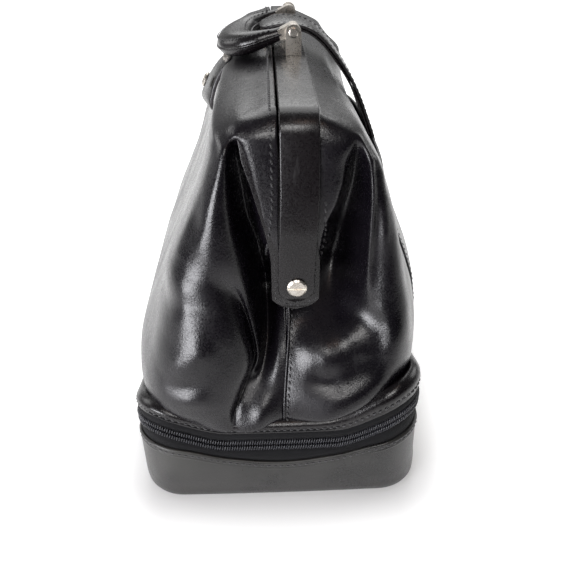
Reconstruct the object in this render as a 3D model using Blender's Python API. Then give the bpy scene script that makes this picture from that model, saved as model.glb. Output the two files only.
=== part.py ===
"""Doctor bag with a zipped bottom compartment, a hinged two-part steel frame, a padded D handle
and a closure strap.  Metres, +Z up, +X along the bag, -Y its front.  The origin is at the middle
of the underside of the base."""

import math

import bmesh
import bpy
from mathutils import Vector

# Driving dimensions
BASE_HALF_X = 0.2090
BASE_HALF_Y = 0.1010
RIM_HALF_X = 0.2145
RIM_HALF_Y = 0.0990
CORNER_RADIUS = 0.030
BASE_HEIGHT = 0.0485
WALL = 0.0026
SKIN = 0.0012
GAP = 0.0003
HINGE_Y = RIM_HALF_Y + 0.0005
HINGE_Z = 0.0550
UPPER_BOTTOM = 0.0617
DIVIDER_TOP = 0.0692
PANEL_BOTTOM = 0.0752
PANEL_TOP = 0.1400
RIDGE_Z = 0.2715
PIVOT_Y = 0.0115
PIVOT_Z = 0.1660
LUG_X = 0.0475
LUG_PIN_Y = 0.0155
LUG_PIN_Z = 0.2872
HANDLE_ANGLE = math.radians(197.0)
STRAP_HALF_WIDTH = 0.0190
STRAP_HINGE = (0.0660, 0.2350)
ZIP_INSET = 0.0015
POCKET_HALF_WIDTH = 0.115
SLIDER_X = 0.0085
RIVET_X = 0.1907
STUD = (0.0, -0.0512, 0.2430)

# Steps in round stretches
CORNER_STEPS = 7
ARC_STEPS = 6
CIRCLE_STEPS = 24

# Plan sizes of the upper body: height, half length, front and back half width, corner radius
PANEL_LEVELS = (
    (PANEL_BOTTOM, 0.2105, 0.1030, 0.1050, 0.040),
    (0.0850, 0.2140, 0.1080, 0.1112, 0.050),
    (0.1050, 0.2115, 0.1045, 0.1102, 0.056),
    (0.1230, 0.2040, 0.0960, 0.1045, 0.056),
    (PANEL_TOP, 0.1960, 0.0875, 0.0980, 0.054),
)
SHOULDER_LEVELS = (
    (0.1415, 0.1900, 0.0845, 0.0960, 0.040),
    (0.1700, 0.1860, 0.0735, 0.0850, 0.036),
    (0.2000, 0.1840, 0.0600, 0.0740, 0.030),
    (0.2300, 0.1815, 0.0420, 0.0610, 0.026),
    (0.2500, 0.1790, 0.0290, 0.0440, 0.006),
    (0.2610, 0.1760, 0.0240, 0.0305, 0.003),
)
POCKET_LEVELS = (
    (0.0900, 0.1135),
    (0.1050, 0.1129),
    (0.1250, 0.1070),
    (0.1400, 0.1010),
    (0.1600, 0.0945),
    (0.1800, 0.0905),
    (0.2000, 0.0870),
)


# ---------------------------------------------------------------- scene and materials


def clear_scene():
    for thing in list(bpy.data.objects):
        bpy.data.objects.remove(thing, do_unlink=True)


def make_material(name, color, roughness, metallic=0.0):
    material = bpy.data.materials.new(name)
    material.use_nodes = True
    shader = material.node_tree.nodes["Principled BSDF"]
    shader.inputs["Base Color"].default_value = (*color, 1.0)
    shader.inputs["Roughness"].default_value = roughness
    shader.inputs["Metallic"].default_value = metallic
    return material


def make_materials():
    return {
        "body_leather": make_material("body_leather", (0.018, 0.016, 0.020), 0.34),
        "trim_leather": make_material("trim_leather", (0.020, 0.017, 0.021), 0.30),
        "lining": make_material("lining", (0.060, 0.045, 0.040), 0.85),
        "board": make_material("board", (0.110, 0.090, 0.070), 0.80),
        "zip_tape": make_material("zip_tape", (0.010, 0.010, 0.012), 0.75),
        "zip_teeth": make_material("zip_teeth", (0.012, 0.012, 0.014), 0.30),
        "nickel": make_material("nickel", (0.72, 0.69, 0.64), 0.18, 1.0),
        "steel": make_material("steel", (0.50, 0.50, 0.52), 0.35, 1.0),
    }


# ---------------------------------------------------------------- mesh helpers


def add_object(name, mesh, material, smooth=False):
    thing = bpy.data.objects.new(name, mesh)
    bpy.context.scene.collection.objects.link(thing)
    mesh.materials.append(material)
    if smooth:
        mesh.shade_smooth()
        mesh.set_sharp_from_angle(angle=math.radians(35))
    return thing


def loft(name, loops, material, closed=False, smooth=False):
    """Joins equal loops of points into one solid: end caps, or the last loop meets the first."""
    mesh = bpy.data.meshes.new(name)
    shape = bmesh.new()
    rows = [[shape.verts.new(point) for point in loop] for loop in loops]
    count = len(rows[0])
    pairs = list(zip(rows, rows[1:]))
    if closed:
        pairs.append((rows[-1], rows[0]))
    else:
        shape.faces.new(rows[0][::-1])
        shape.faces.new(rows[-1])
    for low, high in pairs:
        for index in range(count):
            after = (index + 1) % count
            shape.faces.new((low[index], low[after], high[after], high[index]))
    bmesh.ops.recalc_face_normals(shape, faces=shape.faces)
    shape.to_mesh(mesh)
    shape.free()
    return add_object(name, mesh, material, smooth)


def outline(half_x, front, back, radius, inset=0.0):
    """Rounded rectangle, anticlockwise from the middle of the back."""
    corners = (
        (-half_x, back, 90),
        (-half_x, -front, 180),
        (half_x, -front, 270),
        (half_x, back, 0),
    )
    points = [(0.0, back - inset)]
    for corner_x, corner_y, first in corners:
        centre_x = math.copysign(half_x - radius, corner_x)
        centre_y = corner_y - math.copysign(radius, corner_y)
        for step in range(CORNER_STEPS + 1):
            angle = math.radians(first + 90 * step / CORNER_STEPS)
            reach = radius - inset
            points.append((centre_x + reach * math.cos(angle), centre_y + reach * math.sin(angle)))
    return points


def half_outline(half_x, depth, radius, side, inset=0.0, seam=GAP):
    """One side of the rounded rectangle, from the seam at +X round to the seam at -X."""
    seam = min(seam, depth - radius - GAP)
    points = [(half_x - inset, side * seam)]
    for centre_x, first in ((half_x - radius, 0), (radius - half_x, 90)):
        for step in range(CORNER_STEPS + 1):
            angle = math.radians(first + 90 * step / CORNER_STEPS)
            reach = radius - inset
            along = centre_x + reach * math.cos(angle)
            across = depth - radius + reach * math.sin(angle)
            points.append((along, side * across))
    points.append((inset - half_x, side * seam))
    return points


def ring(name, levels, thickness, material, inset=0.0):
    """Closed wall: each level is height, half length, front, back, radius."""
    outer = [outline(*level[1:], inset) for level in levels]
    inner = [outline(*level[1:], inset + thickness) for level in levels]
    heights = [level[0] for level in levels]
    loops = []
    for index in range(len(outer[0])):
        profile = [(*outer[row][index], heights[row]) for row in range(len(levels))]
        back = [(*inner[row][index], heights[row]) for row in range(len(levels))]
        loops.append(profile + back[::-1])
    return loft(name, loops, material, closed=True)


def slab(name, low, high, size, material, inset=0.0):
    """Flat plate with the plan outline of size, between two heights."""
    plan = outline(*size, inset)
    return loft(name, [[(*point, low) for point in plan], [(*point, high) for point in plan]], material)


def half_shell(name, levels, side, thickness, material, seam=GAP, inset=0.0):
    """Front (side -1) or back (side 1) wall with half of each end."""
    outer = []
    inner = []
    for _, half_x, front, back, radius in levels:
        depth = front if side < 0 else back
        outer.append(half_outline(half_x, depth, radius, side, inset, seam))
        inner.append(half_outline(half_x, depth, radius, side, inset + thickness, seam))
    heights = [level[0] for level in levels]
    loops = []
    for index in range(len(outer[0])):
        profile = [(*outer[row][index], heights[row]) for row in range(len(levels))]
        back_profile = [(*inner[row][index], heights[row]) for row in range(len(levels))]
        loops.append(profile + back_profile[::-1])
    return loft(name, loops, material)


def normals_2d(path):
    """Unit normals to the left of a 2-D path."""
    result = []
    for index in range(len(path)):
        before = Vector(path[max(index - 1, 0)])
        after = Vector(path[min(index + 1, len(path) - 1)])
        along = (after - before).normalized()
        result.append(Vector((-along.y, along.x)))
    return result


def arc(centre, radius, first, last, steps=ARC_STEPS):
    """Points on an arc, angles in degrees."""
    points = []
    for step in range(steps + 1):
        angle = math.radians(first + (last - first) * step / steps)
        points.append((centre[0] + radius * math.cos(angle), centre[1] + radius * math.sin(angle)))
    return points


def turned(name, centre, direction, profile, material):
    """Solid of revolution about an axis through centre: profile is distance along it and radius."""
    axis = Vector(direction).normalized()
    side = axis.orthogonal().normalized()
    other = axis.cross(side)
    loops = []
    for along, radius in profile:
        loop = []
        for step in range(CIRCLE_STEPS):
            angle = 2 * math.pi * step / CIRCLE_STEPS
            spoke = side * math.cos(angle) + other * math.sin(angle)
            loop.append(Vector(centre) + axis * along + spoke * radius)
        loops.append(loop)
    return loft(name, loops, material, smooth=True)


def box(name, low, high, material):
    corners = [(low[0], low[1]), (high[0], low[1]), (high[0], high[1]), (low[0], high[1])]
    return loft(name, [[(*c, low[2]) for c in corners], [(*c, high[2]) for c in corners]], material)


def cut(thing, cutter):
    """Leaves the cutter as a hidden guide and subtracts it from the solid."""
    cutter.hide_render = True
    cutter.display_type = "WIRE"
    hole = thing.modifiers.new("cut_" + cutter.name, "BOOLEAN")
    hole.operation = "DIFFERENCE"
    hole.solver = "EXACT"
    hole.object = cutter


def set_origin(thing, point):
    """Moves an object's origin without moving its shape."""
    place = Vector(point)
    for vertex in thing.data.vertices:
        vertex.co -= place
    thing.location = place


# ---------------------------------------------------------------- base compartment


def base_levels(low, high):
    """Base wall levels between two heights, widening towards the rim."""
    levels = []
    for height in (low, (low + high) / 2, high):
        share = min(height / 0.030, 1.0)
        half_x = BASE_HALF_X + (RIM_HALF_X - BASE_HALF_X) * share
        half_y = BASE_HALF_Y + (RIM_HALF_Y - BASE_HALF_Y) * share
        levels.append((height, half_x, half_y, half_y, CORNER_RADIUS))
    return levels


def build_base(materials):
    wall_size = (BASE_HALF_X, BASE_HALF_Y, BASE_HALF_Y, CORNER_RADIUS)
    inside = WALL + GAP
    ring("base_wall", base_levels(0.0, BASE_HEIGHT - 0.001), WALL, materials["body_leather"])
    slab("base_floor", 0.0, 0.0030, wall_size, materials["body_leather"], inside)
    slab("base_board", 0.0033, 0.0055, wall_size, materials["board"], inside + 0.0005)
    ring("base_lining", base_levels(0.0060, BASE_HEIGHT - 0.003), 0.0009, materials["lining"], inside)
    ring("base_rim_band", base_levels(0.0360, BASE_HEIGHT), SKIN, materials["trim_leather"], -SKIN - GAP)


# ---------------------------------------------------------------- zip


def zip_run(level, inset, back_x):
    """Plan path of the zip: from the back, round both ends and the front, to the back again."""
    whole = outline(*level, inset)
    start = (-back_x, whole[0][1])
    end = (back_x, whole[0][1])
    return [start] + whole[1:] + [end]


def zip_strip(name, low, high, outer_inset, inner_inset, material):
    size = (RIM_HALF_X, RIM_HALF_Y, RIM_HALF_Y, CORNER_RADIUS)
    outer = zip_run(size, outer_inset, 0.135)
    inner = zip_run(size, inner_inset, 0.135)
    loops = []
    for out, back in zip(outer, inner):
        loops.append([(*out, low), (*out, high), (*back, high), (*back, low)])
    return loft(name, loops, material)


def build_zip(materials):
    tape = materials["zip_tape"]
    teeth = materials["zip_teeth"]
    zip_strip("zip_tape_lower", BASE_HEIGHT + GAP, 0.0537, ZIP_INSET, ZIP_INSET + 0.0014, tape)
    zip_strip("zip_teeth_lower", 0.0540, 0.0548, 0.0008, 0.0034, teeth)
    zip_strip("zip_teeth_upper", 0.0552, 0.0560, 0.0008, 0.0034, teeth)
    zip_strip("zip_tape_upper", 0.0563, UPPER_BOTTOM - GAP, ZIP_INSET, ZIP_INSET + 0.0014, tape)
    strip_low = (-0.133, HINGE_Y - 0.0026, BASE_HEIGHT + GAP)
    strip_high = (0.133, HINGE_Y - 0.0010, UPPER_BOTTOM - 0.0006)
    box("back_hinge_strip", strip_low, strip_high, materials["trim_leather"])


def build_slider(side_name, side, materials):
    """Zip slider and its hanging leather pull; side is -1 for the left one and 1 for the right."""
    centre = side * SLIDER_X
    front = -RIM_HALF_Y
    low = (centre - 0.0055, front - 0.0046, 0.0500)
    high = (centre + 0.0055, front + 0.0003, 0.0600)
    slider = box("zip_slider_" + side_name, low, high, materials["nickel"])
    cut(slider, pull_slot(side_name, centre, front, materials))
    pivot = (centre, front - 0.0085, 0.0530)
    outline_down = [(0.0026, 0.0022), (-0.0020, 0.0030), (-0.0060, 0.0048), (-0.0260, 0.0048), (-0.0290, 0.0026)]
    near = pivot[1] - 0.0015
    far = pivot[1] + 0.0015
    loops = []
    for rise, width in outline_down:
        left = pivot[0] - width
        right = pivot[0] + width
        height = pivot[2] + rise
        loops.append([(left, near, height), (right, near, height), (right, far, height), (left, far, height)])
    pull = loft("zip_pull_" + side_name, loops, materials["trim_leather"])
    set_origin(slider, (centre, front, HINGE_Z))
    set_origin(pull, pivot)


def pull_slot(side_name, centre, front, materials):
    """Shallow groove down the face of a slider."""
    low = (centre - 0.0016, front - 0.0060, 0.0515)
    high = (centre + 0.0016, front - 0.0036, 0.0585)
    return box("slider_groove_" + side_name, low, high, materials["nickel"])


# ---------------------------------------------------------------- upper body


def build_upper_body(materials):
    leather = materials["body_leather"]
    rim_size = (RIM_HALF_X - 0.0030, RIM_HALF_Y, RIM_HALF_Y, CORNER_RADIUS)
    band_levels = [(height, *rim_size) for height in (UPPER_BOTTOM, PANEL_BOTTOM - GAP)]
    ring("upper_rim_band", band_levels, 0.0020, materials["trim_leather"])
    slab("divider_board", 0.0668, DIVIDER_TOP, rim_size, materials["board"], 0.0024)
    half_shell("front_panel", PANEL_LEVELS, -1, WALL, leather)
    half_shell("back_panel", PANEL_LEVELS, 1, WALL, leather)
    ring("upper_lining", PANEL_LEVELS, 0.0009, materials["lining"], WALL + GAP)
    half_shell("front_shoulder", SHOULDER_LEVELS, -1, 0.0020, leather, 0.026)
    half_shell("back_shoulder", SHOULDER_LEVELS, 1, 0.0020, leather, 0.0275)
    build_back_pocket(materials)


def build_back_pocket(materials):
    """Slip pocket on the back, standing a little off it at the mouth."""
    loops = []
    for share in (-1.0, -0.94, -0.5, 0.0, 0.5, 0.94, 1.0):
        tuck = 0.0008 if abs(share) == 1.0 else 0.0
        outer = [(share * POCKET_HALF_WIDTH, depth - tuck, height) for height, depth in POCKET_LEVELS]
        inner = [(x, y - 0.0016 + tuck, z) for x, y, z in outer]
        loops.append(outer + inner[::-1])
    loft("back_pocket", loops, materials["body_leather"])


# ---------------------------------------------------------------- frame


def u_path(top_z, leg_x, foot_z, lean=0.0075, bend=0.0090):
    """Outer line of a U frame in the XZ plane: up the +X leg, along the ridge, down the other."""
    knee_z = 0.2050
    shoulder_x = leg_x - lean
    right = [(leg_x, foot_z + share * (PIVOT_Z - foot_z)) for share in (0.0, 0.16, 0.42, 0.72)]
    right += [(leg_x, PIVOT_Z), (leg_x, 0.1850), (leg_x, knee_z)]
    right += [(leg_x - lean * 0.35, knee_z + 0.022)]
    right += arc((shoulder_x - bend, top_z - bend), bend, 6, 90)
    right += [(0.120, top_z), (0.060, top_z)]
    return right + [(0.0, top_z)] + [(-x, z) for x, z in right[::-1]]


def u_band(name, path, centre_of, half_of, thickness, material, slope=0.0):
    """Flat band along a U path.  centre_of and half_of give its middle and half width in Y."""
    loops = []
    for (x, z), normal in zip(path, normals_2d(path)):
        middle = centre_of(x, z)
        half = half_of(x, z)
        loop = []
        for across, depth in ((-1, 0.0), (1, 0.0), (1, thickness), (-1, thickness)):
            y = middle + across * half
            tilt = slope * across * half * max(-normal.y - 0.4, 0.0) / 0.6
            loop.append((x + normal.x * depth, y, z + normal.y * depth + tilt))
        loops.append(loop)
    return loft(name, loops, material)


def rounded_foot(foot_z, half, z):
    """Half width near the round lower end of a leg."""
    rise = z - foot_z
    if rise >= half:
        return half
    return math.sqrt(max(half * half - (half - rise) ** 2, 0.0)) * 0.9 + half * 0.1


def front_middle(x, z):
    """Middle of the front frame in Y: over the pivot at the foot, in front of the back half above."""
    share = min(max((z - 0.178) / (0.258 - 0.178), 0.0), 1.0)
    ease = share * share * (3 - 2 * share)
    return 0.0105 + (-0.0103 - 0.0105) * ease


def rivet_hole(name, side, materials):
    """Cutter for the pivot hole through the legs of one end."""
    profile = [(-0.012, 0.0028), (0.012, 0.0028)]
    return turned(name, (side * 0.186, PIVOT_Y, PIVOT_Z), (1, 0, 0), profile, materials["steel"])


def build_frames(materials):
    leather = materials["trim_leather"]
    steel = materials["steel"]
    top = RIDGE_Z
    back_band = u_band(
        "back_band", u_path(top, 0.1905, 0.1500), lambda x, z: 0.0140,
        lambda x, z: rounded_foot(0.1500, 0.0120, z), 0.0026, leather,
    )
    back_bar = u_band(
        "back_frame_bar", u_path(top - 0.0030, 0.1830, 0.1555, bend=0.0050), lambda x, z: 0.0140,
        lambda x, z: rounded_foot(0.1555, 0.0095, z), 0.0020, steel,
    )
    front_band = u_band(
        "front_band", u_path(top - 0.0042, 0.1874, 0.1470, bend=0.0062), front_middle,
        lambda x, z: rounded_foot(0.1440, 0.0140 - 0.0030 * min(max((z - 0.19) / 0.04, 0.0), 1.0), z),
        0.0015, leather, 0.27,
    )
    front_bar = u_band(
        "front_frame_bar", u_path(top - 0.0062, 0.1855, 0.1555, bend=0.0062), front_middle,
        lambda x, z: rounded_foot(0.1555, 0.0085, z), 0.0020, steel, 0.27,
    )
    for side_name, side in (("near", 1), ("far", -1)):
        hole = rivet_hole("rivet_hole_" + side_name, side, materials)
        for thing in (back_band, back_bar, front_band, front_bar):
            cut(thing, hole)
        build_rivet(side_name, side, materials)


def build_rivet(side_name, side, materials):
    """Slotted two-part rivet that both frame halves turn on."""
    profile = [
        (-0.0128, 0.0049), (-0.0112, 0.0049), (-0.0112, 0.0024), (0.0002, 0.0024),
        (0.0002, 0.0062), (0.0013, 0.0061), (0.0020, 0.0050),
    ]
    place = (side * RIVET_X, PIVOT_Y, PIVOT_Z)
    rivet = turned("hinge_rivet_" + side_name, place, (side, 0, 0), profile, materials["nickel"])
    slot_low = (-0.00095, PIVOT_Y - 0.0075, PIVOT_Z - 0.0006)
    slot_high = (0.00095, PIVOT_Y + 0.0075, PIVOT_Z + 0.0006)
    slot = box("rivet_slot_" + side_name, slot_low, slot_high, materials["nickel"])
    slot.location.x = side * (RIVET_X + 0.00235)
    cut(rivet, slot)


# ---------------------------------------------------------------- handle


def build_lug(side_name, side, materials):
    """Upright nickel post with a round top, standing on the back half of the frame."""
    half = 0.0055
    crown = arc((LUG_PIN_Y, LUG_PIN_Z - 0.0002), half, 0, 180, 10)
    plan = [(LUG_PIN_Y - half, RIDGE_Z + GAP), (LUG_PIN_Y + half, RIDGE_Z + GAP)] + crown
    inner = side * (LUG_X - 0.0030)
    outer = side * (LUG_X + 0.0030)
    lug = loft(
        "handle_lug_" + side_name,
        [[(inner, y, z) for y, z in plan], [(outer, y, z) for y, z in plan]], materials["nickel"],
    )
    hole = turned(
        "lug_hole_" + side_name, (side * LUG_X, LUG_PIN_Y, LUG_PIN_Z), (1, 0, 0),
        [(-0.0200, 0.0023), (0.0200, 0.0023)], materials["nickel"],
    )
    cut(lug, hole)
    screw_profile = [(-0.0140, 0.0020), (0.0033, 0.0020), (0.0033, 0.0034), (0.0040, 0.0034), (0.0045, 0.0026)]
    turned(
        "handle_screw_" + side_name, (side * LUG_X, LUG_PIN_Y, LUG_PIN_Z), (side, 0, 0),
        screw_profile, materials["nickel"],
    )
    return hole


def handle_point(x, reach, lift):
    """Point in the handle's own plane, reach from the pin axis, lift above its middle."""
    out = Vector((0.0, math.cos(HANDLE_ANGLE), math.sin(HANDLE_ANGLE)))
    up = Vector((0.0, math.sin(HANDLE_ANGLE), -math.cos(HANDLE_ANGLE)))
    return Vector((x, LUG_PIN_Y, LUG_PIN_Z)) + out * reach + up * lift


def handle_stations():
    """Middle line of the padded D (x, reach) with its half width, from +X to -X."""
    half = [
        (0.0385, 0.0110, 0.0046), (0.0382, 0.0190, 0.0060), (0.0362, 0.0270, 0.0080),
        (0.0314, 0.0355, 0.0104), (0.0214, 0.0422, 0.0127), (0.0105, 0.0448, 0.0140),
    ]
    return half + [(0.0, 0.0455, 0.0144)] + [(-x, reach, width) for x, reach, width in half[::-1]]


def handle_layer(name, low_share, high_share, width_share, material, lift_gap=0.0):
    """One layer of the handle between two shares of its half thickness."""
    stations = handle_stations()
    path = [(x, reach) for x, reach, _ in stations]
    loops = []
    for (x, reach, width), normal in zip(stations, normals_2d(path)):
        thick = 0.0038 + 0.0034 * (width - 0.0044) / 0.0100
        low = low_share * thick + (lift_gap if low_share > 0 else 0.0)
        high = high_share * thick - (lift_gap if high_share < 0 else 0.0)
        edge = width * width_share
        top_edge = edge * (0.72 if high_share == 1.0 else 1.0)
        low_edge = edge * (0.72 if low_share == -1.0 else 1.0)
        loop = []
        for reach_out, lift in ((low_edge, low), (top_edge, high), (-top_edge, high), (-low_edge, low)):
            loop.append(handle_point(x + normal.x * reach_out, reach + normal.y * reach_out, lift))
        loops.append(loop)
    return loft(name, loops, material)


def build_handle(materials):
    leather = materials["trim_leather"]
    parts = [
        handle_layer("handle_core", -0.22, 0.22, 0.90, materials["steel"]),
        handle_layer("handle_top_cover", 0.22, 1.0, 1.0, leather, GAP),
        handle_layer("handle_bottom_cover", -1.0, -0.22, 1.0, leather, GAP),
    ]
    for side_name, side in (("near", 1), ("far", -1)):
        hole = build_lug(side_name, side, materials)
        end = build_handle_end(side_name, side, materials)
        cut(end, hole)
        parts.append(end)
    for part in parts:
        set_origin(part, (0.0, LUG_PIN_Y, LUG_PIN_Z))


def build_handle_end(side_name, side, materials):
    """Metal eye on the end of the handle, turning on the lug's screw."""
    loops = []
    outline_2d = [(0.0106, -0.0034), (0.0106, 0.0034)] + arc((0.0, 0.0), 0.0050, 80, 280, 8)
    for x in (side * 0.0344, side * 0.0438):
        loops.append([handle_point(x, reach, lift) for reach, lift in outline_2d])
    return loft("handle_end_" + side_name, loops, materials["nickel"])


# ---------------------------------------------------------------- closure strap, tab and lock


def strap_solid(name, path, half_width, depth, thickness, material, ends=(1.0, 1.0)):
    """Flat strip along a YZ path that keeps the bag on its left, depth below that outer line."""
    loops = []
    last = len(path) - 1
    for index, ((y, z), normal) in enumerate(zip(path, normals_2d(path))):
        half = half_width
        if index == 0:
            half *= ends[0]
        if index == last:
            half *= ends[1]
        outer = Vector((y, z)) + normal * depth
        inner = outer + normal * thickness
        loops.append([(-half, *outer), (half, *outer), (half, *inner), (-half, *inner)])
    return loft(name, loops, material)


def strap_line():
    """Outer line of the closure strap, from its hinge behind the ridge over to its front end."""
    return [
        (0.0680, 0.2382), (0.0620, 0.2492), (0.0525, 0.2630), (0.0420, 0.2755), (0.0300, 0.2845),
        (0.0160, 0.2885), (0.0030, 0.2878), (-0.0085, 0.2845),
    ]


def build_strap(materials):
    leather = materials["trim_leather"]
    line = strap_line()
    strap = strap_solid("closure_strap", line, STRAP_HALF_WIDTH, 0.0, 0.0024, leather, (1.0, 0.75))
    lining = strap_solid("strap_lining", line[:-1], STRAP_HALF_WIDTH, 0.0027, 0.0012, leather)
    tongue = box("lock_tongue", (-0.0060, -0.0078, 0.2735), (0.0060, -0.0052, 0.2820), materials["nickel"])
    for part in (strap, lining, tongue):
        set_origin(part, (0.0, *STRAP_HINGE))
    anchor_line = [(0.0865, 0.1860), (0.0828, 0.2010), (0.0770, 0.2165), (0.0700, 0.2325)]
    strap_solid("strap_anchor", anchor_line, STRAP_HALF_WIDTH, 0.0, 0.0036, leather, (0.8, 1.0))


def build_front_tab(materials):
    """Tab on the front frame, which the closure strap meets, with its lock and stud."""
    leather = materials["trim_leather"]
    line = [
        (-0.0310, 0.2590), (-0.0400, 0.2545), (-0.0480, 0.2460), (-0.0525, 0.2360), (-0.0545, 0.2280),
        (-0.0505, 0.2200),
    ]
    strap_solid("front_tab", line, STRAP_HALF_WIDTH, 0.0, 0.0028, leather, (1.0, 0.45))
    box("lock_case", (-0.0075, -0.0375, 0.2594), (0.0075, -0.0275, 0.2620), materials["nickel"])
    box("lock_catch", (-0.0080, -0.0090, 0.2697), (0.0080, -0.0030, 0.2706), materials["nickel"])
    profile = [(0.0004, 0.0052), (0.0014, 0.0060), (0.0026, 0.0052), (0.0036, 0.0028)]
    turned("tab_stud", STUD, (0.0, -0.90, 0.44), profile, materials["nickel"])


def main():
    clear_scene()
    materials = make_materials()
    build_base(materials)
    build_zip(materials)
    for side_name, side in (("left", -1), ("right", 1)):
        build_slider(side_name, side, materials)
    build_upper_body(materials)
    build_frames(materials)
    build_handle(materials)
    build_strap(materials)
    build_front_tab(materials)


main()
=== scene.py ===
"""Looks of the doctor bag: leather skins, zip, frame, handle, strap, stitching, materials and studio.
Metres, +Z up, +X towards the near end, -Y the front.  Everything is placed from the CAD frame."""

import math

import bmesh
import bpy
import numpy as np
from mathutils import Matrix, Vector, noise
from mathutils.bvhtree import BVHTree


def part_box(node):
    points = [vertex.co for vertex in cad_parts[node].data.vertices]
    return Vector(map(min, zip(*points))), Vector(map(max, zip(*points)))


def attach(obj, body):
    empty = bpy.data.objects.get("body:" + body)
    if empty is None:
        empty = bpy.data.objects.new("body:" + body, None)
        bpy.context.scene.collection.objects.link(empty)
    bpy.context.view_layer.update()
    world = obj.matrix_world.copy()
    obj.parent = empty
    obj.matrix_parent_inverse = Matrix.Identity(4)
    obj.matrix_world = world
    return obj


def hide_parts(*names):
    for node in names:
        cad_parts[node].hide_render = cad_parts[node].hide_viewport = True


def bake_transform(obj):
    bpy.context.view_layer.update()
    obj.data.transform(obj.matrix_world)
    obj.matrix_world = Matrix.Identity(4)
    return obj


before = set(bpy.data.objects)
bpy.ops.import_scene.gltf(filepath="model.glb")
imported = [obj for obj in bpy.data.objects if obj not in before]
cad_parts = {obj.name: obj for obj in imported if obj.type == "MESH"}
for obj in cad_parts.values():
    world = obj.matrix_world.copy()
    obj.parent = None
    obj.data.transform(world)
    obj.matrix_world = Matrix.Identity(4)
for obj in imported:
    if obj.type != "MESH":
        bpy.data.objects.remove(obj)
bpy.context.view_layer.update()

MM = 0.001
# The real soft leather bends with its frame half between these two heights; here the tuples are only handed
# to stitch_row, which bakes such rows in place.
BEND_LOW = (0.0, 0.0, 0.140)
BEND_HIGH = (0.0, 0.0, 0.230)
FRONT_BEND = ("upper_body", "front_frame", BEND_LOW, BEND_HIGH)
BACK_BEND = ("upper_body", "back_frame", BEND_LOW, BEND_HIGH)
SIDES = (("near", 1), ("far", -1))

# ---------------------------------------------------------------- materials


class Nodes:
    """Short way to build a node material."""

    def __init__(self, name):
        self.material = bpy.data.materials.new(name)
        self.material.use_nodes = True
        self.tree = self.material.node_tree
        self.shader = self.tree.nodes["Principled BSDF"]
        self.place = self.tree.nodes.new("ShaderNodeTexCoord").outputs["Object"]

    def node(self, kind, inputs=None, **settings):
        made = self.tree.nodes.new(kind)
        for key, value in settings.items():
            setattr(made, key, value)
        for key, value in (inputs or {}).items():
            if isinstance(value, bpy.types.NodeSocket):
                self.tree.links.new(value, made.inputs[key])
            else:
                made.inputs[key].default_value = value
        return made

    def noise(self, scale, detail=2.0, roughness=0.5, place=None):
        inputs = {"Vector": place or self.place, "Scale": scale, "Detail": detail, "Roughness": roughness}
        return self.node("ShaderNodeTexNoise", inputs).outputs["Fac"]

    def cells(self, scale, feature="F1"):
        inputs = {"Vector": self.place, "Scale": scale}
        return self.node("ShaderNodeTexVoronoi", inputs, feature=feature).outputs["Distance"]

    def stretched(self, factors):
        return self.node("ShaderNodeMapping", {"Vector": self.place, "Scale": factors}).outputs["Vector"]

    def math(self, operation, first, second):
        return self.node("ShaderNodeMath", {0: first, 1: second}, operation=operation).outputs[0]

    def vector(self, operation, first, second=(0.0, 0.0, 0.0)):
        return self.node("ShaderNodeVectorMath", {0: first, 1: second}, operation=operation).outputs["Vector"]

    def remap(self, value, low, high, to_low, to_high, curve="LINEAR"):
        inputs = {"Value": value, "From Min": low, "From Max": high, "To Min": to_low, "To Max": to_high}
        return self.node("ShaderNodeMapRange", inputs, interpolation_type=curve).outputs[0]

    def fade(self, value, low, high, to_low, to_high):
        return self.remap(value, low, high, to_low, to_high, "SMOOTHSTEP")

    def ramp(self, value, stops):
        made = self.node("ShaderNodeValToRGB", {"Fac": value})
        points = made.color_ramp.elements
        while len(points) < len(stops):
            points.new(0.5)
        for point, (position, color) in zip(points, stops):
            point.position = position
            point.color = (*color, 1.0)
        return made.outputs["Color"]

    def bump(self, height, strength, distance, before=None):
        inputs = {"Height": height, "Strength": strength, "Distance": distance}
        if before is not None:
            inputs["Normal"] = before
        return self.node("ShaderNodeBump", inputs).outputs["Normal"]

    def finish(self, **sockets):
        names = {
            "color": "Base Color", "rough": "Roughness", "normal": "Normal", "metallic": "Metallic",
            "sheen": "Sheen Weight", "specular": "Specular IOR Level", "ior": "IOR",
        }
        for key, value in sockets.items():
            socket = self.shader.inputs[names[key]]
            if isinstance(value, bpy.types.NodeSocket):
                self.tree.links.new(value, socket)
            elif isinstance(value, tuple):
                socket.default_value = (*value, 1.0)
            else:
                socket.default_value = value
        return self.material


def leather(name, dark, light, rough_low, rough_high, grain):
    """Smooth glossy calf: soft pores, fine speckle, drum wrinkles, cloudy colour and hairline scuffs."""
    n = Nodes(name)
    cloud = n.noise(22.0, 3.0, 0.55)
    fine = n.noise(900.0, 3.0, 0.6)
    color = n.ramp(n.math("MULTIPLY_ADD", fine, 0.18), [(0.0, dark), (1.0, light)])
    tint = n.ramp(cloud, [(0.32, dark), (0.72, light)])
    mixed = n.node("ShaderNodeMix", {0: 0.72, 6: color, 7: tint}, data_type="RGBA").outputs[2]
    pores = n.cells(1150.0)
    pebble = n.cells(620.0, "SMOOTH_F1")
    drum = n.noise(95.0, 4.0, 0.6)
    scuff = n.noise(260.0, 2.0, 0.5, n.stretched((1.0, 1.0, 0.12)))
    scuffed = n.remap(scuff, 0.66, 0.74, 0.0, 0.10)
    spread = n.remap(cloud, 0.30, 0.72, rough_low, rough_high)
    grainy = n.remap(fine, 0.35, 0.70, -0.05, 0.09)
    rough = n.math("ADD", n.math("ADD", spread, grainy), scuffed)
    normal = n.bump(drum, 0.10 * grain, 0.0016)
    normal = n.bump(pebble, 0.11 * grain, 0.00026, normal)
    normal = n.bump(pores, 0.20 * grain, 0.00014, normal)
    normal = n.bump(fine, 0.30 * grain, 0.00016, normal)
    return n.finish(color=mixed, rough=rough, normal=normal, ior=1.5)


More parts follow.
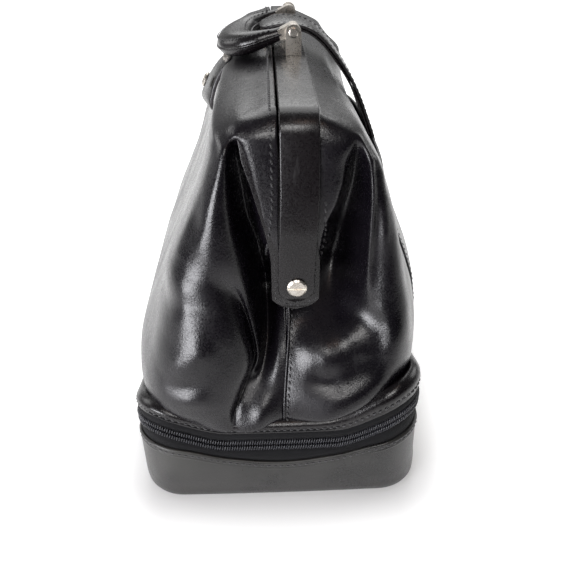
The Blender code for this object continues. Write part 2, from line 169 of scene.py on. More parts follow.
def edge_paint(name):
    """Painted and burnished cut edge; its colour is lighter than the leather, partly the paint's own and
    partly a painted highlight along the edges.
    """
    n = Nodes(name)
    ripple = n.noise(420.0, 3.0, 0.6)
    # light colour: partly the edge paint's own, partly a painted highlight on the rounded cut edges
    color = n.ramp(ripple, [(0.3, (0.018, 0.016, 0.018)), (0.8, (0.052, 0.047, 0.050))])
    rough = n.remap(ripple, 0.3, 0.7, 0.30, 0.48)
    return n.finish(color=color, rough=rough, normal=n.bump(ripple, 0.25, 0.0004))


def thread(name):
    """Waxed twisted thread."""
    n = Nodes(name)
    twist = n.noise(2600.0, 2.0, 0.5, n.stretched((1.0, 1.0, 0.35)))
    color = n.ramp(twist, [(0.3, (0.006, 0.006, 0.007)), (0.75, (0.030, 0.028, 0.032))])
    return n.finish(color=color, rough=0.46, normal=n.bump(twist, 0.6, 0.0003), sheen=0.2)


# Scale of a wave texture whose bands are one metre apart
WAVE_SCALE = 2 * math.pi / 6.2832 / 3.1


def woven(name, dark, light, pitch, rough, sheen=0.25):
    """Plain weave whose threads are pitch apart."""
    n = Nodes(name)
    inputs = {"Vector": n.place, "Scale": WAVE_SCALE / pitch, "Distortion": 0.15}
    across, deep, tall = (
        n.node("ShaderNodeTexWave", inputs, bands_direction=axis).outputs["Fac"] for axis in ("X", "Y", "Z")
    )
    weave = n.math("MAXIMUM", n.math("MULTIPLY", across, tall), n.math("MULTIPLY", deep, tall))
    fuzz = n.noise(1500.0, 3.0, 0.6)
    mottle = n.math("ADD", n.math("MULTIPLY", weave, 0.7), n.math("MULTIPLY", fuzz, 0.3))
    color = n.ramp(mottle, [(0.1, dark), (0.9, light)])
    normal = n.bump(fuzz, 0.2, 0.0003, n.bump(weave, 0.5, 0.0005))
    return n.finish(color=color, rough=rough, normal=normal, sheen=sheen, specular=0.2)


def metal(name, low, high, rough_low, rough_high, brushed=(1.0, 1.0, 1.0)):
    """Plated metal with fine handling marks."""
    n = Nodes(name)
    marks = n.noise(1400.0, 3.0, 0.6, n.stretched(brushed))
    cloud = n.noise(120.0, 2.0, 0.5)
    color = n.ramp(cloud, [(0.3, low), (0.7, high)])
    marked = n.remap(marks, 0.35, 0.7, rough_low, rough_high)
    rough = n.math("ADD", marked, n.remap(cloud, 0.4, 0.8, 0.0, 0.05))
    return n.finish(color=color, rough=rough, metallic=1.0, normal=n.bump(marks, 0.05, 0.0001))


def board(name):
    """Stiffening fibreboard with small flecks."""
    n = Nodes(name)
    fleck = n.noise(380.0, 4.0, 0.65)
    color = n.ramp(fleck, [(0.3, (0.050, 0.040, 0.032)), (0.75, (0.105, 0.086, 0.068))])
    return n.finish(color=color, rough=0.85, normal=n.bump(fleck, 0.4, 0.0005))


def nylon(name):
    """Moulded zip nylon."""
    n = Nodes(name)
    mold = n.noise(700.0, 2.0, 0.5)
    color = n.ramp(mold, [(0.3, (0.014, 0.014, 0.018)), (0.8, (0.040, 0.041, 0.048))])
    return n.finish(color=color, rough=n.remap(mold, 0.3, 0.7, 0.20, 0.34), normal=n.bump(mold, 0.1, 0.0002))


BODY = leather("calf_body", (0.0018, 0.0014, 0.0026), (0.0056, 0.0044, 0.0068), 0.22, 0.33, 1.5)
TRIM = leather("calf_trim", (0.0022, 0.0016, 0.0022), (0.0060, 0.0044, 0.0054), 0.22, 0.31, 1.0)
BASE = leather("calf_base", (0.0040, 0.0038, 0.0044), (0.0400, 0.0390, 0.0360), 0.24, 0.46, 0.9)
# edge paint, lighter than the leather partly as a painted highlight on the cut edges
EDGE = edge_paint("edge_paint")
THREAD = thread("waxed_thread")
LINING = woven("lining_twill", (0.020, 0.014, 0.012), (0.075, 0.055, 0.048), 0.0007, 0.85)
TAPE = woven("zip_tape_weave", (0.0014, 0.0014, 0.0020), (0.0055, 0.0055, 0.0072), 0.0006, 0.80, 0.02)
BOARD = board("fibre_board")
TEETH = nylon("zip_nylon")
NICKEL = metal("polished_nickel", (0.56, 0.51, 0.45), (0.74, 0.70, 0.64), 0.24, 0.36)
STEEL = metal("frame_steel", (0.42, 0.42, 0.43), (0.60, 0.60, 0.61), 0.26, 0.40, (0.1, 1.0, 1.0))


def paint_cad():
    """Gives every CAD node the finish of its material slot."""
    looks = {
        "body_leather": BODY, "trim_leather": TRIM, "lining": LINING, "board": BOARD,
        "zip_tape": TAPE, "zip_teeth": TEETH, "nickel": NICKEL, "steel": STEEL,
    }
    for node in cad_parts.values():
        for slot in node.material_slots:
            kind = next((key for key in looks if slot.material and slot.material.name.startswith(key)), None)
            if kind:
                slot.material = looks[kind]


# ---------------------------------------------------------------- mesh helpers


def new_object(name, points, faces, materials):
    """Smooth-shaded mesh object in the scene."""
    mesh = bpy.data.meshes.new(name)
    mesh.from_pydata([tuple(p) for p in points], [], faces)
    mesh.update()
    made = bpy.data.objects.new(name, mesh)
    bpy.context.scene.collection.objects.link(made)
    for material in materials:
        mesh.materials.append(material)
    mesh.shade_smooth()
    return made


def sheet(name, cloud, materials):
    """Mesh of a (rows, columns, 3) surface."""
    return new_object(name, cloud.reshape(-1, 3), grid_faces(*cloud.shape[:2]), materials)


def outward(made):
    """Turns the faces of a closed mesh outwards."""
    shape = bmesh.new()
    shape.from_mesh(made.data)
    bmesh.ops.recalc_face_normals(shape, faces=shape.faces)
    shape.to_mesh(made.data)
    shape.free()


def grid_faces(rows, columns, wrap_rows=False, wrap_columns=False, start=0):
    """Quads between neighbours in a grid of points, whose first point is number start."""
    faces = []
    for row in range(rows if wrap_rows else rows - 1):
        low = start + row * columns
        high = start + (row + 1) % rows * columns
        for column in range(columns if wrap_columns else columns - 1):
            after = (column + 1) % columns
            faces.append((low + column, low + after, high + after, high + column))
    return faces


def add_rings(points, faces, rings, closed=False):
    """Adds a tube of equal rings to a growing mesh: a loop if closed, and capped if not."""
    start = len(points)
    count = len(rings[0])
    for ring in rings:
        points += ring
    faces += grid_faces(len(rings), count, wrap_rows=closed, wrap_columns=True, start=start)
    if not closed:
        last = start + (len(rings) - 1) * count
        faces.append(tuple(range(start, start + count))[::-1])
        faces.append(tuple(range(last, last + count)))


def round_steps(count):
    """Cosine and sine at equal steps round a circle."""
    angles = [2 * math.pi * step / count for step in range(count)]
    return [(math.cos(angle), math.sin(angle)) for angle in angles]


def catmull(points, steps):
    """Smooth dense rows through control rows; points is (count, ...), steps samples per span."""
    points = np.asarray(points, float)
    ends = np.concatenate([[2 * points[0] - points[1]], points, [2 * points[-1] - points[-2]]])
    out = []
    for index in range(len(points) - 1):
        p0, p1, p2, p3 = ends[index:index + 4]
        for step in range(steps):
            t = step / steps
            out.append(0.5 * (
                2 * p1 + (p2 - p0) * t + (2 * p0 - 5 * p1 + 4 * p2 - p3) * t * t
                + (3 * p1 - p0 - 3 * p2 + p3) * t ** 3
            ))
    out.append(points[-1])
    return np.array(out)


def resample(path, spacing):
    """Points and directions at equal distances along a polyline."""
    path = [Vector(p) for p in path]
    lengths = [0.0]
    for a, b in zip(path, path[1:]):
        lengths.append(lengths[-1] + (b - a).length)
    count = max(int(lengths[-1] / spacing), 1)
    places = []
    span = 0
    for step in range(count + 1):
        target = lengths[-1] * step / count
        while span < len(path) - 2 and lengths[span + 1] < target:
            span += 1
        share = (target - lengths[span]) / max(lengths[span + 1] - lengths[span], 1e-9)
        places.append((path[span].lerp(path[span + 1], share), (path[span + 1] - path[span]).normalized()))
    return places


def sweep(name, sections, materials, closed=False):
    """Tube through equal sections (lists of points)."""
    points = []
    faces = []
    add_rings(points, faces, sections, closed)
    made = new_object(name, points, faces, materials)
    outward(made)
    return made


def tube(name, path, radius, upward, materials):
    """Round cord along a path; upward keeps its rings from twisting."""
    sections = []
    for index, point in enumerate(path):
        before = Vector(path[max(index - 1, 0)])
        after = Vector(path[min(index + 1, len(path) - 1)])
        along = (after - before).normalized()
        side = along.cross(upward).normalized()
        top = side.cross(along).normalized()
        sections.append([Vector(point) + (side * c + top * s) * radius for c, s in round_steps(8)])
    return sweep(name, sections, materials)


CORNER_STEPS = 4
# Points of a rounded section that lie on its two cut edges
EDGE_COLUMNS = (8, 9, 10, 18, 19, 0)


def paint_edges(made):
    """Gives the cut edges of a strip, swept from rounded sections, the edge paint with its painted highlight.
    """
    made.data.materials.append(EDGE)
    count = 4 * (CORNER_STEPS + 1)
    for index, face in enumerate(made.data.polygons):
        if index % count in EDGE_COLUMNS and len(face.vertices) == 4:
            face.material_index = 1


def thicken(made, thickness, offset, **settings):
    """Turns a sheet into a solid of even thickness."""
    shell = made.modifiers.new("leather_thickness", "SOLIDIFY")
    shell.thickness = thickness
    shell.offset = offset
    for key, value in settings.items():
        setattr(shell, key, value)
    context = bpy.context.evaluated_depsgraph_get()
    mesh = bpy.data.meshes.new_from_object(made.evaluated_get(context))
    made.modifiers.clear()
    made.data = mesh


def bevel(made, width):
    """Small round edges on a machined piece."""
    change = made.modifiers.new("rounded_edges", "BEVEL")
    change.width = width
    change.segments = 2
    change.limit_method = "ANGLE"
    change.angle_limit = math.radians(35)
    change.harden_normals = False
    made.data.shade_smooth()
    made.data.set_sharp_from_angle(angle=math.radians(50))


def rounded_section(half_width, thickness, corner):
    """Cross-section of a strip: (across, depth) points, depth 0 outside to -thickness inside."""
    points = []
    radius = min(corner, thickness / 2 * 0.98)
    centres = (
        (half_width - radius, -radius, 0), (-half_width + radius, -radius, 90),
        (-half_width + radius, -thickness + radius, 180), (half_width - radius, -thickness + radius, 270),
    )
    for across, depth, first in centres:
        for step in range(CORNER_STEPS + 1):
            angle = math.radians(first + 90 * step / CORNER_STEPS)
            points.append((across + radius * math.cos(angle), depth + radius * math.sin(angle)))
    return points


# Rings of one stitch: share along its length, size and rise, both in radii
STITCH_RINGS = ((-0.5, 0.30, -0.9), (-0.36, 0.85, -0.2), (-0.12, 1.0, 0.25),
                (0.12, 1.0, 0.25), (0.36, 0.85, -0.2), (0.5, 0.30, -0.9))
STITCH_SLANT = 0.30


def stitch_row(name, path, normal_of, rides, pitch=4.4 * MM, length=3.2 * MM,
               radius=0.60 * MM, lift=0.22 * MM):
    """One row of thread stitches as small slanted capsules sunk a little into the leather.
"""
    points = []
    faces = []
    for place, along in resample(path, pitch)[:-1]:
        normal = normal_of(place).normalized()
        along = (along - normal * along.dot(normal)).normalized()
        along = (along + normal.cross(along) * STITCH_SLANT).normalized()
        side = normal.cross(along)
        centre = place + along * pitch / 2
        rings = []
        for share, size, rise in STITCH_RINGS:
            middle = centre + along * share * length + normal * (lift + rise * radius)
            rings.append([middle + (side * c + normal * s) * radius * size for c, s in round_steps(6)])
        add_rings(points, faces, rings)
    made = new_object(name, points, faces, [THREAD])
    outward(made)
    if isinstance(rides, str):
        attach(made, rides)
    else:
        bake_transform(made)


def project(tree, points, direction):
    """Points moved along direction onto a surface, with the surface normals there."""
    run_up = direction * 0.08
    placed = []
    for point in points:
        hit, normal, _, _ = tree.ray_cast(Vector(point) - run_up, direction)
        if hit is not None:
            placed.append((hit, normal if normal.dot(direction) < 0 else -normal))
    return placed


def nearest_normal(tree):
    """Function that gives a surface's normal nearest to a place."""
    def normal_of(place):
        _, normal, _, _ = tree.find_nearest(place)
        return normal
    return normal_of


def tree_of(made):
    """Search tree of a mesh as it is now."""
    shape = bmesh.new()
    shape.from_mesh(made.data)
    tree = BVHTree.FromBMesh(shape)
    shape.free()
    return tree


# ---------------------------------------------------------------- leather skins

# x of the last control points of most rows, along the long side
SIDE = (0.140, 0.100, 0.050, 0.0)


def level(x, out, z):
    """One row of control points (x, distance out from the middle plane, height).

    It runs from the seam or frame leg at the near end, over the gusset folds and round the corner,
    to the middle of the long side.  A single height serves the whole row."""
    heights = z if isinstance(z, tuple) else (z,) * len(x)
    return tuple(zip(x, out, heights))


FRONT_ROWS = (
    # under the overhang
    level((.2095, .211, .2135, .2132, .2125, .2126, .214, .212, .203, .18) + SIDE,
          (-.0015, .006, .013, .02, .028, .032, .0365, .054, .076, .0905, .0985, .101, .102, .1025),
          (.0735, .0722, .0698, .0678, .067, .0672, .0682, .071, .073, .0725, .073, .0735, .074, .074)),
    # the overhang's widest line
    level((.212, .2145, .2175, .2175, .216, .215, .218, .215, .2065, .183) + SIDE,
          (-.0015, .006, .013, .02, .0275, .0315, .037, .055, .077, .0925, .1015, .104, .105, .1053),
          (.0775, .0765, .0745, .0725, .0715, .0722, .0732, .0765, .079, .0782, .0785, .0788, .0792, .0792)),
    level((.21, .2125, .214, .2108, .2098, .2085, .2165, .219, .2095, .184) + SIDE,
          (-.002, .006, .0125, .0195, .0262, .0296, .0345, .055, .079, .0935, .102, .1045, .1055, .1055),
          (.0855, .0855, .0855, .086, .0865, .0865, .086, .087, .0885, .088, .088, .088, .088, .088)),
    level((.204, .204, .2015, .1985, .199, .199, .213, .219, .2095, .184) + SIDE,
          (-.0035, .004, .009, .0135, .019, .0222, .0275, .053, .077, .0915, .0985, .0995, .0995, .099),
          (.1, .1, .1, .101, .102, .102, .101, .101, .101, .101, .102, .102, .102, .102)),
    level((.1925, .1915, .185, .177, .2, .1935, .2085, .215, .2045, .18) + SIDE,
          (-.0045, .001, .0045, .0085, .0135, .0162, .0202, .048, .072, .0845, .089, .0895, .089, .088),
          (.12, .12, .12, .12, .12, .12, .12, .12, .121, .122, .122, .122, .122, .122)),
    level((.176, .169, .159, .148, .1955, .1885, .206, .2085, .1975, .174) + SIDE,
          (-.004, .001, .0045, .009, .0158, .02, .0268, .051, .0675, .0765, .079, .079, .078, .077),
          (.143, .143, .143, .143, .143, .143, .143, .143, .144, .145, .145, .145, .145, .145)),
    level((.174, .164, .156, .15, .1905, .1885, .201, .2005, .189, .169) + SIDE,
          (-.003, .002, .006, .0115, .0188, .025, .0352, .055, .0655, .0715, .0725, .0718, .07, .0688),
          (.161, .161, .161, .161, .16, .16, .162) + (.163,) * 7),
    level((.1848, .1815, .173, .15, .1882, .1955, .1965, .1905, .1795, .164) + SIDE,
          (-.0012, .003, .0064, .0135, .0202, .0318, .044, .0545, .062, .0648, .0652, .064, .062, .0608),
          (.18, .18, .18, .18, .18, .18, .18, .181) + (.182,) * 6),
    level((.1884, .1872, .1822, .151, .1872, .1945, .1935, .1862, .177, .162) + SIDE,
          (-.0004, .0052, .0104, .0188, .024, .0332, .043, .049, .055, .0568, .057, .056, .055, .054),
          (.2, .2, .2, .2, .2, .2, .2, .2) + (.201,) * 6),
    level((.187, .186, .1822, .155, .1858, .1915, .1902, .183, .174, .16) + SIDE,
          (-.0006, .007, .0136, .0212, .0262, .0326, .039, .0436, .0467, .0478, .0482, .048, .0475, .047),
          .222),
    level((.1853, .1848, .1822, .164, .1846, .1882, .1866, .18, .1715, .158, .138, .1, .05, .0),
          (-.0008, .0086, .0166, .0228, .0266, .0302, .0342, .038, .0405, .0418, .0425, .0425, .0418, .0412),
          .24),
    level((.1838, .1834, .1818, .173, .1828, .1842, .1822, .176, .168, .155, .135, .1, .05, .0),
          (-.0008, .0096, .0184, .0228, .0262, .0285, .0312, .0344, .0368, .0382, .039, .0392, .0388, .0382),
          (.252, .252, .2518, .251, .2514, .2516, .252, .252, .2522, .2525, .2528, .2528, .2525, .2522)),
    # edge of the roof
    level((.1822, .182, .1808, .18, .179, .1777, .1762, .1722, .1648, .151, .132, .1, .05, .0),
          (-.0008, .01, .0185, .0222, .025, .0268, .0285, .0315, .0338, .0352, .036, .0362, .0356, .035),
          (.259, .2586, .258, .2576, .2573, .2572, .2572, .2576, .2584, .2592, .2596, .2596, .2592, .259)),
    # crease over the front edge of the frame's bar
    level((.1782, .1775, .176, .1748, .1733, .1715, .1688, .164, .155, .142, .124, .092, .046, .0),
          (-.0008, .008, .0155, .019, .0208, .0218, .0224, .0226, .0228, .0228, .0228, .0228, .0227, .0226),
          (.2655, .2652, .2645, .2642, .2641, .2641, .2642, .2645, .2649, .2652, .2653, .2653, .2653, .2653)),
    level((.1735, .173, .1718, .1705, .1685, .1662, .1632, .1578, .149, .137, .12, .09, .045, .0),
          (-.0008, .0045, .008, .0098, .0108, .0113, .0115) + (.0116,) * 7,
          (.2694, .2688, .2682, .2679, .2678, .2678, .2678, .2678, .2679, .268, .268, .268, .268, .268)),
    # the mouth edge
    level((.168, .167, .1655, .1638, .1616, .1588, .155, .1495, .141, .13, .115, .086, .043, .0),
          (-.0004, .0) + (.0005,) * 12, .2711),
)
BACK_ROWS = (
    level((.2095, .211, .2135, .214, .2115, .2065, .2, .193, .183, .169) + SIDE,
          (.0015, .014, .0265, .038, .049, .06, .07, .0775, .0835, .0885, .095, .1, .1025, .103),
          (.0735, .074, .0755, .0785, .0815, .084, .0865, .088, .088, .087, .084, .0815, .0795, .079)),
    level((.212, .215, .2185, .2185, .2155, .2105, .204, .1968, .186, .171) + SIDE,
          (.0015, .015, .028, .04, .051, .062, .0718, .0798, .0862, .0915, .0985, .104, .107, .108),
          (.079, .0785, .08, .084, .0875, .0905, .093, .095, .095, .094, .09, .0872, .0852, .0842)),
    level((.21, .2135, .216, .2165, .2135, .2095, .204, .1972, .187, .171) + SIDE,
          (.002, .015, .028, .04, .051, .062, .073, .0812, .0876, .0925, .1, .1055, .1085, .1095),
          (.0875, .088, .0905, .0935, .097, .0995, .101, .102, .1025, .1025, .1, .098, .096, .0955)),
    level((.204, .208, .2095, .2085, .205, .2035, .2025, .197, .187, .17) + SIDE,
          (.0035, .015, .028, .04, .051, .062, .0732, .0815, .0876, .0922, .0988, .1038, .1065, .1075),
          (.1, .1, .102, .105, .109, .112, .114, .115, .115, .114, .112, .11, .108, .107)),
    level((.1925, .1945, .1975, .1965, .195, .1985, .2005, .1955, .185, .168) + SIDE,
          (.005, .015, .028, .04, .051, .062, .0732, .0812, .0866, .0905, .0962, .1008, .1033, .1043),
          (.12, .121, .124, .127, .129, .13, .13, .13, .129, .128, .127, .126, .125, .125)),
    level((.176, .17, .164, .162, .183, .1935, .195, .1915, .182, .166) + SIDE,
          (.006, .015, .027, .0385, .0505, .062, .0715, .0795, .0845, .0875, .091, .0935, .0955, .096),
          (.145, .146, .147, .147, .147, .147, .147, .147, .147, .147, .146, .146, .146, .146)),
    level((.174, .17, .158, .146, .184, .1892, .1918, .188, .179, .163) + SIDE,
          (.015, .023, .029, .0395, .0518, .06, .069, .0765, .081, .0832, .085, .0868, .0878, .088), .163),
    level((.1848, .183, .175, .144, .185, .1855, .188, .1845, .175, .16, .138, .1, .05, .0),
          (.0215, .0255, .0285, .0405, .053, .059, .067, .074, .078, .0795, .0802, .0805, .0802, .08), .18),
    level((.1855, .1854, .1805, .152, .185, .183, .184, .18, .171, .156, .134, .1, .05, .0),
          (.022, .0262, .0302, .043, .054, .059, .065, .0705, .0735, .0745, .0748, .074, .073, .0725), .2),
    level((.1848, .1852, .1816, .159, .1838, .181, .18, .176, .167, .153, .13, .1, .05, .0),
          (.022, .0282, .0358, .0462, .0546, .058, .062, .065, .0668, .0675, .0672, .0665, .0648, .064),
          .222),
    level((.1832, .1838, .1816, .168, .1815, .1787, .1765, .1725, .164, .15, .13, .1, .05, .0),
          (.022, .0288, .0384, .0462, .0534, .0552, .057, .0583, .0592, .0596, .0592, .0582, .056, .055),
          .24),
    level((.1822, .183, .1815, .1765, .1785, .1762, .1735, .1695, .161, .148, .129, .099, .05, .0),
          (.0225, .029, .0408, .0455, .0495, .0508, .0517, .0525, .053, .053, .0522, .0505, .0485, .0478),
          (.2515, .2515, .2512, .251, .2512, .2513, .2514, .2516, .2516, .2514, .251, .2505, .25, .2496)),
    level((.1806, .1806, .1792, .1778, .1762, .1738, .1708, .1668, .159, .146, .128, .098, .049, .0),
          (.023, .0292, .0385, .0425, .0452, .0464, .0472, .0478, .048, .0476, .0465, .045, .0436, .043),
          (.2588, .2586, .2582, .2579, .2578, .2579, .258, .2582, .2582, .2579, .2575, .2568, .256, .2556)),
    level((.1775, .1772, .176, .1744, .1724, .1698, .1668, .1628, .155, .142, .125, .096, .048, .0),
          (.0232, .028, .033, .0352, .0362, .0367, .037, .0371, .037, .0366, .036, .0352, .0345, .0342),
          (.2643, .2642, .2636, .2632, .2631, .2631, .2632, .2633, .2634, .2632, .263, .2626, .2622, .262)),
    level((.1738, .173, .1718, .1703, .1683, .1658, .1628, .1585, .151, .139, .123, .094, .047, .0),
          (.0236, .0242, .0246) + (.0247,) * 11, .268),
)

# Soft creases on the end: height (+ ridge, - groove), half width, then (distance out, height) points
FRONT_CREASES = (
    (0.0009, 0.0050, ((.0620, .1800), (.0560, .1869), (.0495, .1966), (.0439, .2065))),
    (0.0010, 0.0090, ((.0860, .1620), (.0750, .1680), (.0660, .1730), (.0560, .1750), (.0460, .1740))),
    (-0.0016, 0.0075, ((.0900, .1450), (.0780, .1510), (.0672, .1570), (.0560, .1610), (.0470, .1610),
                       (.0400, .1640))),
    (0.0022, 0.0090, ((.0760, .1110), (.0619, .1225), (.0489, .1320), (.0400, .1375))),
    (-0.0012, 0.0060, ((.0740, .1040), (.0600, .1090), (.0450, .1130))),
    (0.0010, 0.0060, ((.0680, .0990), (.0534, .0996), (.0420, .0965))),
)
BACK_CREASES = (
    (0.0014, 0.0024, ((.0300, .2080), (.0335, .2180), (.0365, .2300), (.0395, .2420))),
    (0.0012, 0.0022, ((.0500, .2500), (.0590, .2380), (.0640, .2250))),
    (0.0012, 0.0030, ((.0600, .2250), (.0640, .2050), (.0650, .1850))),
    (0.0022, 0.0075, ((.0420, .1400), (.0500, .1280), (.0560, .1150))),
    (-0.0012, 0.0075, ((.0620, .1500), (.0650, .1350), (.0660, .1200))),
    (0.0014, 0.0070, ((.0660, .1560), (.0720, .1350), (.0710, .1150), (.0580, .0960))),
    (0.0022, 0.0090, ((.0100, .1200), (.0240, .1230), (.0400, .1180))),
    (-0.0016, 0.0060, ((.0160, .1060), (.0300, .1040), (.0420, .1040))),
)


def distance_to_path(points, path):
    """Shortest distances from 2-D points to a polyline, and how far along it (0 to 1) they are."""
    best = np.full(len(points), 1e9)
    along = np.zeros(len(points))
    path = np.asarray(path, float)
    for index, (a, b) in enumerate(zip(path, path[1:])):
        span = b - a
        share = np.clip(((points - a) @ span) / (span @ span), 0, 1)
        gap = np.linalg.norm(points - (a + share[:, None] * span), axis=1)
        closer = gap < best
        best = np.where(closer, gap, best)
        along = np.where(closer, (index + share) / (len(path) - 1), along)
    return best, along


def grid_normals(cloud, side):
    """Outward normals of a (rows, columns, 3) surface."""
    across = np.gradient(cloud, axis=1)
    upward = np.gradient(cloud, axis=0)
    normals = np.cross(across, upward) * side
    lengths = np.linalg.norm(normals, axis=2, keepdims=True)
    return normals / np.maximum(lengths, 1e-9)


def crease_offsets(cloud, creases, side):
    """Displacement of each surface point by the soft creases of both ends."""
    flat = cloud.reshape(-1, 3)
    plan = np.stack([flat[:, 1] * side, flat[:, 2]], axis=1)
    reach = np.clip((np.abs(flat[:, 0]) - 0.135) / 0.03, 0, 1)
    offset = np.zeros(len(flat))
    for height, width, path in creases:
        gap, along = distance_to_path(plan, path)
        fade = np.clip(np.minimum(along, 1 - along) / 0.30, 0, 1) * 0.85 + 0.15
        offset += height * fade * np.exp(-(gap / width) ** 2) * reach
    return offset.reshape(cloud.shape[:2])


def drape_offsets(cloud, seed):
    """Broad soft unevenness of hand-stretched leather."""
    offset = np.zeros(cloud.shape[:2])
    for row in range(cloud.shape[0]):
        for column in range(cloud.shape[1]):
            x, y, z = cloud[row, column]
            place = Vector((x * 12.0 + seed, y * 12.0, z * 14.0))
            finer = Vector((x * 40.0 + seed, y * 40.0 + 5.0, z * 46.0))
            offset[row, column] = 0.0013 * noise.noise(place) + 0.00022 * noise.noise(finer)
    return offset


def far_swell(cloud):
    """Fuller shoulder near the far end of the back, where the leather is pushed out from inside."""
    reach = ((cloud[:, :, 0] + 0.100) / 0.045) ** 2 + ((cloud[:, :, 2] - 0.2440) / 0.014) ** 2
    return 0.0085 * np.exp(-reach) * (cloud[:, :, 1] > 0.030)


# Samples between control points along a level line and up the skin, and rounds of smoothing
ALONG_STEPS = 8
UP_STEPS = 9
RELAX_ROUNDS = 9
# Creases and drape fade out below the first height and above the second, over FADE_HEIGHT.
DRAPE_LOW = 0.076
DRAPE_HIGH = 0.262
FADE_HEIGHT = 0.02


def relax(cloud):
    """Softens kinks along each level line, as thick leather does."""
    for _ in range(RELAX_ROUNDS):
        cloud[:, 1:-1] = 0.25 * cloud[:, :-2] + 0.5 * cloud[:, 1:-1] + 0.25 * cloud[:, 2:]
    return cloud


def skin_surface(rows, side, creases, seed):
    """Dense (rows, columns, 3) surface of one side of the bag, near end first."""
    tuck = tuple((x - (0.0060 if x > 0.10 else 0), out - 0.0030, z + 0.0030) for x, out, z in rows[0])
    control = []
    for row in (tuck,) + rows:
        near = [(x, side * out, z) for x, out, z in row]
        far = [(-x, y, z) for x, y, z in near[:-1]][::-1]
        control.append(near + far)
    control = np.array(control)
    if side < 0:
        lip = control[-1:] + np.array([0.0, 0.0014, -0.0040])
        control = np.concatenate([control, lip])
    cloud = relax(np.stack([catmull(line, ALONG_STEPS) for line in catmull(control, UP_STEPS)]))
    heights = cloud[:, :, 2]
    under_roof = np.clip((DRAPE_HIGH - heights) / FADE_HEIGHT, 0, 1)
    loose = under_roof * np.clip((heights - DRAPE_LOW) / FADE_HEIGHT, 0, 1)
    seam = np.clip((np.abs(cloud[:, :, 1]) - 0.006) / 0.02, 0, 1)
    push = crease_offsets(cloud, creases, side) + drape_offsets(cloud, seed) * seam
    if side > 0:
        push += far_swell(cloud)
    return cloud + grid_normals(cloud, side) * (push * loose)[:, :, None]


def build_skin(name, rows, side, creases, seed, nodes):
    """Leather sheet of one side, lined inside, baked in place where it stands."""
    cloud = skin_surface(rows, side, creases, seed)
    made = sheet(name, cloud, [BODY, LINING])
    if side < 0:
        made.data.flip_normals()
    outer = tree_of(made)
    thicken(made, 0.0016, -1, material_offset=1, material_offset_rim=0)
    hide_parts(*nodes)
    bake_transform(made)
    return outer


def seam_line(rows, side, heights):
    """(x, y) of a skin's end edge at each height."""
    edge = [row[0] for row in rows[4:10]]
    levels = [z for _, _, z in edge]
    xs = np.interp(heights, levels, [x for x, _, _ in edge])
    ys = np.interp(heights, levels, [side * out for _, out, _ in edge])
    return list(zip(xs, ys))


def build_seam_tongues():
    """Narrow leather tongue behind each patch, closing the gap between the front and back skins."""
    heights = np.linspace(0.132, 0.190, 16)
    shares = np.linspace(-0.10, 1.10, 7)
    lines = (seam_line(FRONT_ROWS, -1, heights), seam_line(BACK_ROWS, 1, heights))
    for word, side in SIDES:
        cloud = []
        for z, (front_x, front_y), (back_x, back_y) in zip(heights, *lines):
            for share in shares:
                x = front_x + (back_x - front_x) * share - 0.0026
                cloud.append((side * x, front_y + (back_y - front_y) * share, z))
        made = new_object("seam_tongue_" + word, cloud, grid_faces(len(heights), len(shares)), [BODY])
        thicken(made, 0.0012, 0)
        outward(made)
        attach(made, "upper_body")


# ---------------------------------------------------------------- base, zip and rim band

# Half sizes of the plan at the base's rim and foot, and the rim's shift towards the front
RIM_X = 0.2145
RIM_Y = 0.0978
RIM_SHIFT = -0.0012
FOOT_X = 0.2090
FOOT_Y = 0.1012
CORNER = 0.030
END_BULGE = 0.0022
LOOP_COUNT = 420
HINGE_HALF = 0.135


def smooth(value, low, high):
    """Rises softly from 0 at low to 1 at high."""
    share = min(max((value - low) / (high - low), 0.0), 1.0)
    return share * share * (3 - 2 * share)


def end_share(x):
    """Share from 0 along the sides to 1 at the ends."""
    return smooth(abs(x), 0.165, 0.200)


def corner_peak(x, y):
    """Share from 0 along the sides to 1 at the four corners of the plan.

    It starts further out at the front, where the zip stays level as far as its sliders run."""
    start = 0.150 if y < 0 else 0.120
    return smooth(abs(x), start, start + 0.078) * smooth(abs(y), 0.035, 0.090)


def rim_height(x, y):
    """Top of the base wall: it dips at the middle of each end and stands up at the corners."""
    dip = 0.0075 * end_share(x) * (1 - smooth(abs(y), 0.0, 0.065))
    return 0.0485 - dip + 0.0088 * corner_peak(x, y)


def zip_height(x, y):
    """Middle of the zip: it rises at the corners, a little more at the back ones."""
    rise = 0.0158 if y < 0 else 0.0190
    return 0.0572 + rise * corner_peak(x, y)


def plan_loop(half_x, half_y, radius, bulge=END_BULGE, shift=RIM_SHIFT, count=LOOP_COUNT):
    """Evenly spaced closed plan outline from the middle of the back, with its outward normals."""
    path = [(0.0, half_y)]
    for sign_x, sign_y, first in ((-1, 1, 90), (-1, -1, 180), (1, -1, 270), (1, 1, 0)):
        for step in range(25):
            angle = math.radians(first + 90 * step / 24)
            path.append((sign_x * (half_x - radius) + radius * math.cos(angle),
                         sign_y * (half_y - radius) + radius * math.sin(angle)))
        if (sign_x, sign_y) in ((-1, 1), (1, -1)):
            for step in range(1, 12):
                path.append((sign_x * half_x, sign_y * (half_y - radius) * (1 - step / 6)))
    path.append((0.0, half_y))
    bulged = []
    for x, y in path:
        swell = bulge * max(1 - (y / half_y) ** 2, 0.0) * end_share(x)
        bulged.append((x + math.copysign(swell, x), y + shift))
    path = np.array(bulged)
    steps = np.linalg.norm(np.diff(path, axis=0), axis=1)
    lengths = np.concatenate([[0], np.cumsum(steps)])
    wanted = np.linspace(0, lengths[-1], count, endpoint=False)
    places = np.stack([np.interp(wanted, lengths, path[:, axis]) for axis in (0, 1)], axis=1)
    along = np.roll(places, -1, axis=0) - np.roll(places, 1, axis=0)
    along /= np.linalg.norm(along, axis=1, keepdims=True)
    normals = np.stack([along[:, 1], -along[:, 0]], axis=1)
    away = np.sign(np.sum(places * normals, axis=1))
    return places, normals * away[:, None]


